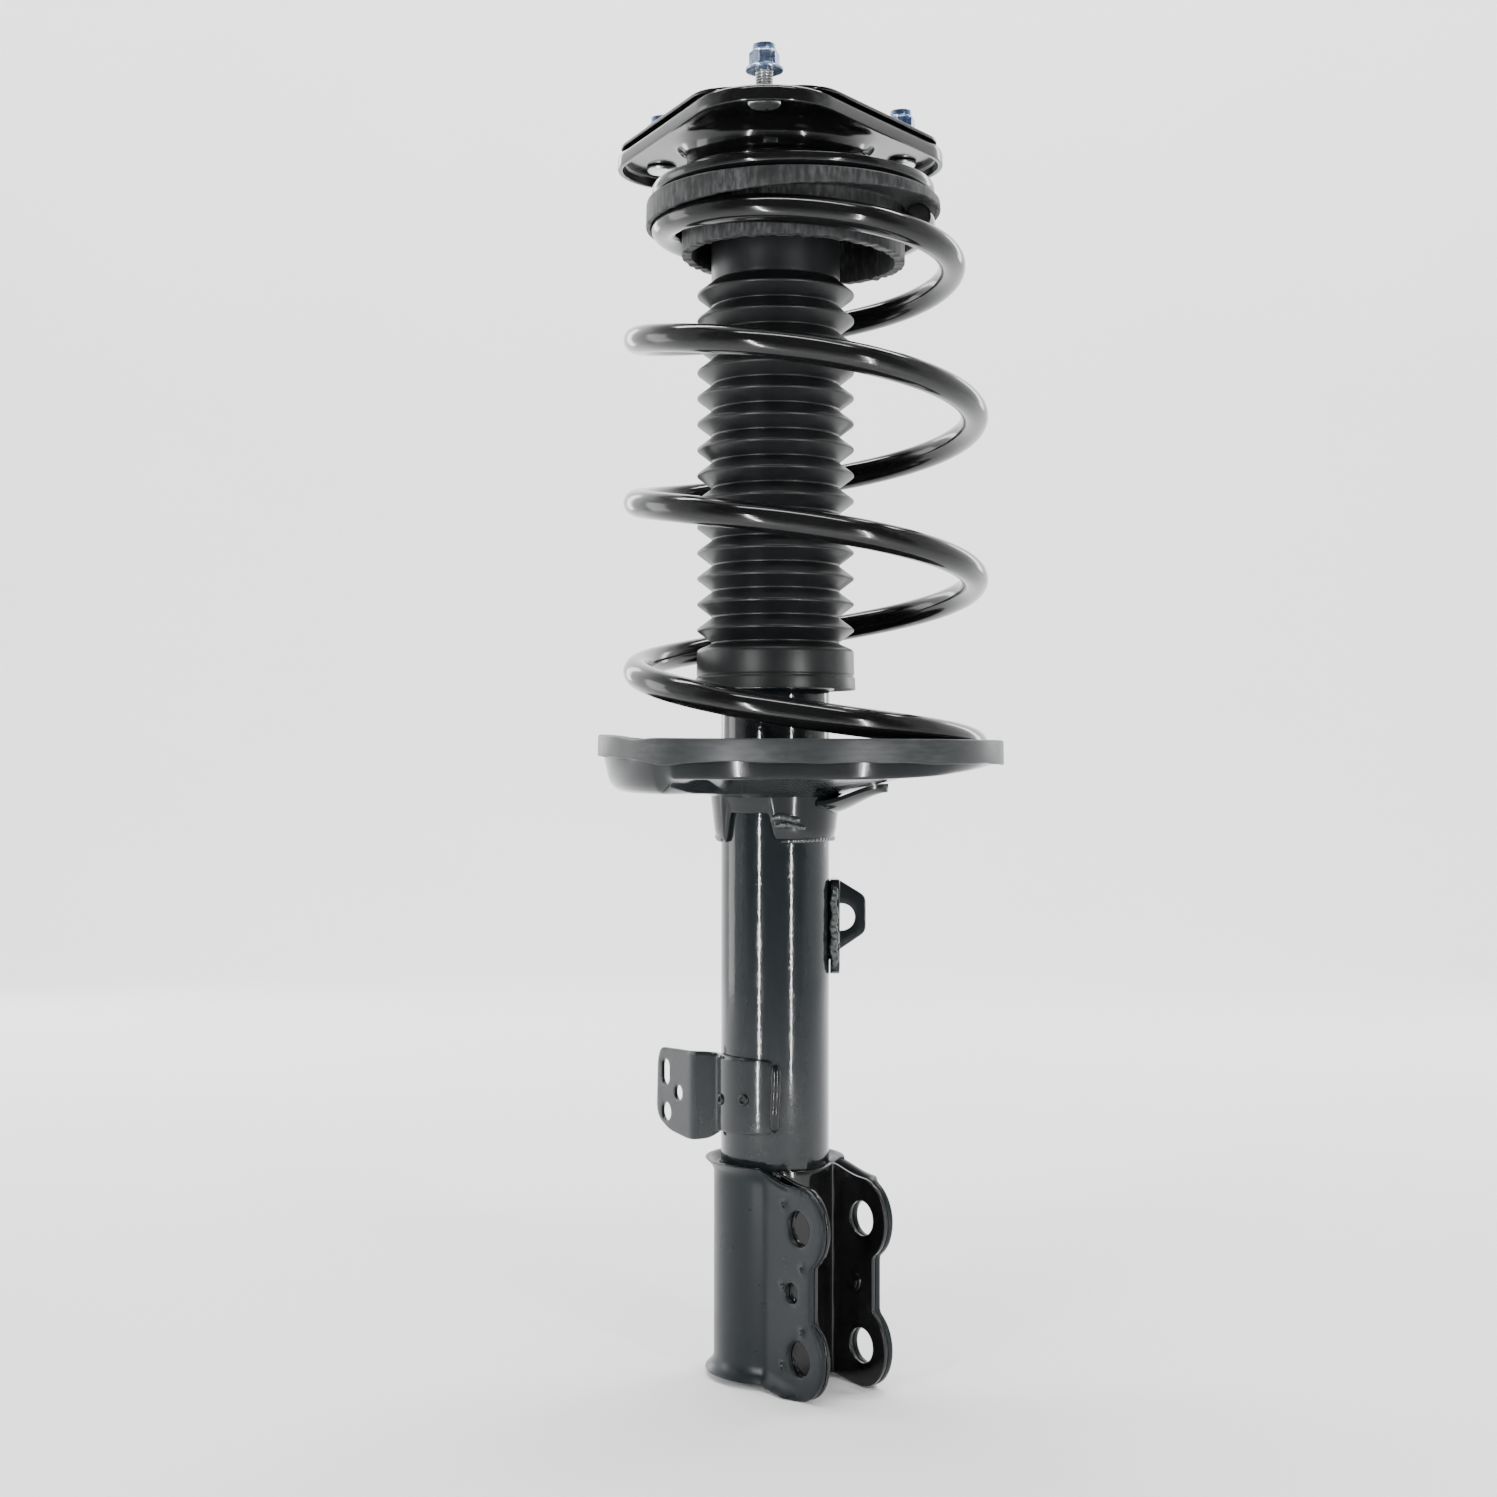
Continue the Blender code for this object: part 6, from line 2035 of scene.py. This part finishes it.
        def carry(s: Array, z: Array, t: Array) -> Array:
            """The place of (s, z, t) on the bent sheet, with its lips and dimples."""
            point, normal = line.at(s)
            start = np.where(point[:, 1] > 0.0, 42 * MM, 34 * MM)
            fade = 1.0 - smooth_step((point[:, 0] - start) / (57 * MM - start) / 0.62)
            slope = smooth_step((point[:, 0] - 12 * MM) / (self.reach - 12 * MM))
            high = self.top + (self.holes[0] + self.lobe[1] - self.top) * slope
            low = self.bottom + (self.holes[1] - self.lobe[1] - self.bottom) * slope
            near_edge = np.minimum(high - z, z - low)
            lip = flare * fade * np.clip(1.0 - near_edge / self.flare_width, 0.0, 1.2) ** 1.8
            shift = t + lip
            if from_back:
                away = np.hypot(s[:, None] - near_dimples[:, 0], z[:, None] - near_dimples[:, 1]).min(axis=1)
                pit = 0.35 * MM * bell((away - 1.5 * MM) / (0.38 * MM)) - 0.7 * MM * bell(away / (0.75 * MM))
                shift = shift + pit * (t > 0.0)
            bent = point - sign * normal * shift[:, None]
            return self.place(bent[:, 0], bent[:, 1], z)

        edge = 0.75 * MM if from_back else 0.5 * MM
        return Blank(outline, thickness, holes, edge, 2.6 * MM, extra).shape(carry)

    def nugget(self) -> Shape:
        """The weld nugget that fills the far ear's middle hole.

        Returns:
            The surface.
        """
        u, z, size = self.middle_hole
        corners = [
            (0.6 * MM, 1.2 * MM), (size * 0.55, 1.4 * MM), (size * 0.7, 0.5 * MM),
            (size - 0.2 * MM, 0.9 * MM), (size + 0.4 * MM, -0.3 * MM), (size, -4.6 * MM),
            (0.6 * MM, -4.6 * MM),
        ]
        button = turned(softened(corners, 0.6 * MM, 3, False), 32, closed=False)
        across = self.place(0.0, -1.0, 0.0)
        return button.stood(self.place(u, self.clevis / 2.0 + 0.2 * MM, z), across)

    def welds(self) -> Shape:
        """Beads round the tube at the wrap's top and bottom, and where the ears leave it.

        Returns:
            The beads as one surface.
        """
        tube = tube_radius()
        beads = []
        for height, size in ((self.top - 4.0 * MM, 1.5 * MM), (self.bottom + 14.5 * MM, 1.0 * MM)):
            ring = arc((0.0, 0.0), tube + 1.2 * MM, 70.0, 300.0, 90)
            spots = self.place(ring[:, 0], ring[:, 1], height)
            beads.append(weld_bead(spots, size, 2.2 * MM))
        for n in (-1.0, 1.0):
            u = np.linspace(21.0, 27.0, 8) * MM
            height = self.top - 3.0 * MM - (u - 21 * MM) * 0.2
            edge = self.place(u, n * (self.clevis / 2.0 + 1.6 * MM), height)
            beads.append(weld_bead(edge, 1.3 * MM, 2.0 * MM))
        return joined(beads)

    def build(self) -> None:
        """Makes the two sheets, the nugget and the welds."""
        tube = tube_radius()
        outer = self.bent(
            self.sheet,
            tube + self.gap + self.sheet / 2.0,
            self.clevis / 2.0 + self.inner_sheet + self.gap + self.sheet / 2.0,
            True,
            self.flare,
        )
        inner = self.bent(
            self.inner_sheet,
            tube + self.gap + self.inner_sheet / 2.0,
            self.clevis / 2.0 + self.inner_sheet / 2.0,
            False,
            0.0,
        )
        sheets = (
            ("clevis_outer_sheet", outer, Finish.BRACKET_PAINT, "knuckle_bracket"),
            ("clevis_inner_sheet", inner, Finish.BLACK_PAINT, "bracket_reinforcement"),
        )
        for name, shape, finish, node in sheets:
            piece(name, shape, finish, Body.LOWER, node, crease=40.0)
        piece("clevis_weld_nugget", self.nugget(), Finish.BLACK_PAINT, Body.LOWER)
        piece("clevis_weld_beads", self.welds(), Finish.WELD, Body.LOWER)


@dataclass
class HoseBracket:
    """The saddle plug-welded round the tube's left side, and its bent wing."""

    sheet: float = 2.0 * MM
    gap: float = 0.3 * MM
    heights: tuple[float, float] = (101.0 * MM, 137.0 * MM)
    saddle: tuple[float, float] = (-92.0, -168.0)
    web: float = 12.0 * MM
    wing: float = 34.0 * MM
    wing_angle: float = 122.0
    plugs: tuple[tuple[float, float], ...] = ((-122.0, 117.6), (-156.0, 116.0))

    def line(self) -> tuple[Bend, float]:
        """The sheet's middle line in plan, and the length at which its wing starts.

        Returns:
            The line, and the length at which the wing starts.
        """
        radius = tube_radius() + self.gap + self.sheet / 2.0
        on_tube = arc((0.0, 0.0), radius, *self.saddle, 60)
        turn_in = np.array([-1.0, 0.45]) / hypot(1.0, 0.45)
        web_end = on_tube[-1] + np.array([-1.2, 1.6]) * MM + turn_in * self.web
        a = radians(self.wing_angle)
        tip = web_end + np.array([cos(a), sin(a)]) * self.wing
        start = on_tube[-1] + np.array([-1.0, 1.2]) * MM
        tail = softened(np.array([on_tube[-1], start, web_end, tip]), [0, 1.5 * MM, 2.4 * MM, 0], 8, False)
        points = dense(np.concatenate([on_tube[:-1], tail]), 0.5 * MM)
        bend = Bend(points)
        return bend, float(bend.length[-1]) - self.wing

    def build(self) -> None:
        """Makes the bracket with its slot and holes, its plug welds and its end bead."""
        bend, wing = self.line()
        low, high = self.heights
        end = float(bend.length[-1])
        corners = [
            (0.0, low + 1 * MM, 4), (wing - 15 * MM, low, 3), (wing - 9 * MM, low - 4.5 * MM, 3),
            (wing + 2 * MM, low - 6.5 * MM, 6), (wing + 22 * MM, low - 4.5 * MM, 4),
            (end, low + 1 * MM, 7), (end - 1 * MM, high - 8 * MM, 3),
            (end - 4 * MM, high - 1.5 * MM, 3), (wing - 6 * MM, high, 2), (0.0, high - 1 * MM, 4),
        ]
        cuts = [cut * MM for _, _, cut in corners]
        rounded = softened(np.array([(s, z) for s, z, _ in corners]), cuts, 5)
        outline = eased(rounded, 1.0 * MM, 0.7 * MM)
        slot_s = wing + 0.74 * self.wing
        slot_top = arc((slot_s, high - 10.4 * MM), 3.6 * MM, 0.0, 180.0, 14)
        slot_foot = arc((slot_s, high - 15.6 * MM), 3.6 * MM, 180.0, 360.0, 14)
        small = arc((wing + 0.38 * self.wing, 115.5 * MM), 3.6 * MM, 0.0, 345.0, 30)
        large = arc((wing + 0.72 * self.wing, 105.0 * MM), 4.4 * MM, 0.0, 345.0, 30)
        holes = [np.concatenate([slot_top, slot_foot]), small, large]

        def carry(s: Array, z: Array, t: Array) -> Array:
            """The place of (s, z, t) on the bent sheet."""
            point, normal = bend.at(s)
            return np.column_stack([point - normal * t[:, None], z])

        shape = Blank(outline, self.sheet, holes, 0.5 * MM, 1.8 * MM).shape(carry)
        piece("hose_saddle_and_wing", shape, Finish.TUBE_PAINT, Body.LOWER, "hose_bracket", crease=40.0)
        surface = tube_radius() + self.gap + self.sheet
        parts = []
        for turn, height in self.plugs:
            ray = np.array([cos(radians(turn)), sin(radians(turn)), 0.0])
            ring = np.array([(1.2, -0.3), (1.4, 0.7), (2.0, 1.15), (2.6, 0.7), (2.9, -0.4), (1.1, -0.4)]) * MM
            plug = turned(softened(ring, 0.3 * MM, 3), 32)
            parts.append(plug.stood(ray * surface + [0, 0, height * MM], ray))
        # the plug welds take black paint, darker than the tube paint, as painted shade in their ring recesses
        piece("hose_plug_welds_painted_shade", joined(parts), Finish.BLACK_PAINT, Body.LOWER)
        radius = tube_radius() + 2.0 * MM
        z = np.linspace(low + 2 * MM, high - 3 * MM, 40)
        turn = np.radians(self.saddle[0] + 1.4 + 0.7 * np.sin(z / MM * 0.16))
        path = np.column_stack([radius * np.cos(turn), radius * np.sin(turn), z])
        bead = weld_bead(path, 2.3 * MM, 7.0 * MM, (1, 0, 0), 0.03)
        piece("hose_saddle_bead", bead, Finish.SEAT_PAINT, Body.LOWER)


@dataclass
class LinkBracket:
    """The thick angle on the tube's right, for the stabiliser link."""

    sheet: float = 4.5 * MM
    gap: float = 0.3 * MM
    heights: tuple[float, float] = (173.0 * MM, 218.0 * MM)
    depths: tuple[float, float] = (-6.0 * MM, 17.5 * MM)
    reach: float = 43.5 * MM
    hole: tuple[float, float, float] = (31.8 * MM, 199.0 * MM, 6.5 * MM)

    def build(self) -> None:
        """Makes the angle and the bead that holds it to the tube."""
        inner = tube_radius() + self.gap
        low, high = self.heights
        front, back = self.depths
        x_leg, y_arm = inner + self.sheet / 2.0, back - self.sheet / 2.0
        corners = np.array([(x_leg, front), (x_leg, y_arm), (self.reach, y_arm)])
        bend = Bend(dense(softened(corners, [0, 3.2 * MM, 0], 10, False), 0.3 * MM))
        end = float(bend.length[-1])
        leg = end - (self.reach - inner)
        blank = np.array(
            [
                (0.0, low + 3 * MM), (4 * MM, low), (9 * MM, low + 1 * MM), (leg, low + 7 * MM),
                (end, 192 * MM), (end, 209 * MM), (leg + 3 * MM, high), (3 * MM, high),
                (0.0, high - 3 * MM),
            ]
        )
        outline = eased(softened(blank, 2.5 * MM, 4), 1.0 * MM, 0.8 * MM)
        x, z, size = self.hole
        hole = arc((end - (self.reach - x), z), size, 0.0, 350.0, 44)

        def carry(s: Array, z: Array, t: Array) -> Array:
            """The place of (s, z, t) on the bent sheet."""
            point, normal = bend.at(s)
            return np.column_stack([point + normal * t[:, None], z])

        shape = Blank(outline, self.sheet, [hole], 0.6 * MM, 2.2 * MM).shape(carry)
        piece("link_angle", shape, Finish.TUBE_PAINT, Body.LOWER, "link_bracket", crease=40.0)
        z = np.linspace(low + 4 * MM, high - 3 * MM, 40)
        wobble = 0.5 * MM * np.sin(z / MM * 0.6)
        near = np.column_stack([np.full(40, inner + 1.6 * MM) + wobble, np.full(40, front - 0.2 * MM), z])
        far = np.column_stack([np.full(40, inner - 0.8 * MM), np.full(40, 8.5 * MM), z[::-1] + 2 * MM])
        front_bead = weld_bead(near, 2.1 * MM, 3.0 * MM, (0, 1, 0))
        back_bead = weld_bead(far, 1.8 * MM, 2.6 * MM, (0, 1, 0))
        piece("link_weld_beads", joined([front_bead, back_bead]), Finish.WELD, Body.LOWER)


# ---------------------------------------------------------------- studio


@dataclass(frozen=True)
class SoftBox:
    """A rectangular lamp that faces a point on the strut."""

    name: str
    azimuth: float
    distance: float
    height: float
    size: tuple[float, float]
    power: float
    target: tuple[float, float, float] = (0.0, 0.0, 0.3)

    def build(self) -> None:
        """Hangs the lamp; azimuth 0 is in front of the strut and 90 to its right."""
        lamp = bpy.data.lights.new(self.name, "AREA")
        lamp.shape = "RECTANGLE"
        lamp.size, lamp.size_y = self.size
        lamp.energy = self.power
        made = bpy.data.objects.new(self.name, lamp)
        bpy.context.scene.collection.objects.link(made)
        a = radians(self.azimuth)
        made.location = (self.distance * sin(a), -self.distance * cos(a), self.height)
        made.rotation_euler = (Vector(self.target) - made.location).to_track_quat("-Z", "Y").to_euler()


@dataclass
class Studio:
    """The pale sweep, the lamps and the camera."""

    lamps: tuple[SoftBox, ...] = (
        SoftBox("left_strip", -34.0, 0.8, 0.2, (0.016, 0.6), 6.5),
        SoftBox("right_strip", 33.0, 0.8, 0.2, (0.014, 0.6), 5.5),
        SoftBox("left_panel", -106.0, 1.7, 0.4, (0.6, 1.2), 8.5),
        SoftBox("overhead_strip", 0.0, 0.55, 1.7, (1.3, 0.12), 13.0),
        SoftBox("left_rim", -146.0, 1.7, 0.78, (0.3, 1.1), 6.3),
        SoftBox("right_rim", 134.0, 1.7, 0.78, (0.25, 1.1), 7.0),
        SoftBox("backdrop_light", 180.0, 0.9, 2.6, (3.0, 0.6), 140.0, (0.0, 2.5, 0.5)),
        SoftBox("floor_light", 180.0, 0.5, 2.8, (2.4, 1.6), 14.0, (0.0, 0.5, 0.0)),
    )
    world: float = 0.13
    distance: float = 1.0
    eye: tuple[float, float] = (-12.64 * MM, 274.0 * MM)
    pitch: float = 0.311
    roll: float = 0.05
    lens: float = 50.98

    def sweep(self, floor: float) -> None:
        """A round floor that curves up into a wall behind the strut.

        Each ray runs flat for 1.9 m and bends through a quarter circle of radius 1 m. Its
        heights are then scaled by a share that is 1 behind the strut and 0 in front.

        Args:
            floor: the floor's height.
        """
        bend = arc((1.9, 1.0), 1.0, -90.0, 0.0, 20)
        line = np.concatenate([[(0.01, 0.0), (1.0, 0.0)], bend, [(2.9, 4.5)]])
        turn = full_turn(72)
        rise = smooth_step((np.sin(turn) + 0.85) / 0.5)
        reach = line[:, :1] + (1.0 - rise) * 10.0 * np.linspace(0.0, 1.0, len(line))[:, None] ** 2
        height = floor + line[:, 1:] * rise
        points = np.stack([reach * np.cos(turn), reach * np.sin(turn), height], axis=-1)
        mesh = bpy.data.meshes.new("studio_sweep")
        faces = grid_quads(len(line), len(turn), False).tolist() + [list(range(len(turn)))]
        mesh.from_pydata(points.reshape(-1, 3).tolist(), [], faces)
        mesh.shade_smooth()
        desk = Desk("pale_sweep_paper")
        desk.set(Roughness=0.9, Specular_IOR_Level=0.1)
        desk.into(desk.mixed(desk.noise(3.0, 2.0), (0.86, 0.865, 0.87), (0.9, 0.9, 0.9)), "Base Color")
        mesh.materials.append(desk.material)
        made = bpy.data.objects.new("studio_sweep", mesh)
        bpy.context.scene.collection.objects.link(made)
        made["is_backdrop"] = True

    def build(self) -> None:
        """Sets up the sweep, the world's light, the lamps and the camera."""
        self.sweep(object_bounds()[0].z - 0.3 * MM)
        world = bpy.data.worlds.new("studio")
        world.use_nodes = True
        world.node_tree.nodes["Background"].inputs["Color"].default_value = (1.0, 1.0, 1.0, 1.0)
        world.node_tree.nodes["Background"].inputs["Strength"].default_value = self.world
        bpy.context.scene.world = world
        for lamp in self.lamps:
            lamp.build()
        lens = bpy.data.cameras.new("camera")
        lens.sensor_width = 36.0
        lens.lens = self.lens
        camera = bpy.data.objects.new("camera", lens)
        bpy.context.scene.collection.objects.link(camera)
        camera.location = (self.eye[0], -self.distance, self.eye[1])
        camera.rotation_euler = (radians(90.0 + self.pitch), 0.0, 0.0)
        camera.rotation_euler.rotate_axis("Z", radians(self.roll))
        bpy.context.scene.camera = camera


def main() -> None:
    logging.basicConfig(level=logging.INFO, format="%(name)s: %(message)s")
    for obj in list(bpy.data.objects):
        bpy.data.objects.remove(obj, do_unlink=True)
    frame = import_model()
    Studio().build()
    coil = CoilSpring()
    coil.build()
    Damper().build(frame)
    LowerSeat(coil).build()
    UpperSeat(coil).build()
    DustBoot().build()
    TopMount().build()
    KnuckleBracket().build()
    HoseBracket().build()
    LinkBracket().build()


if __name__ == "__main__":
    main()
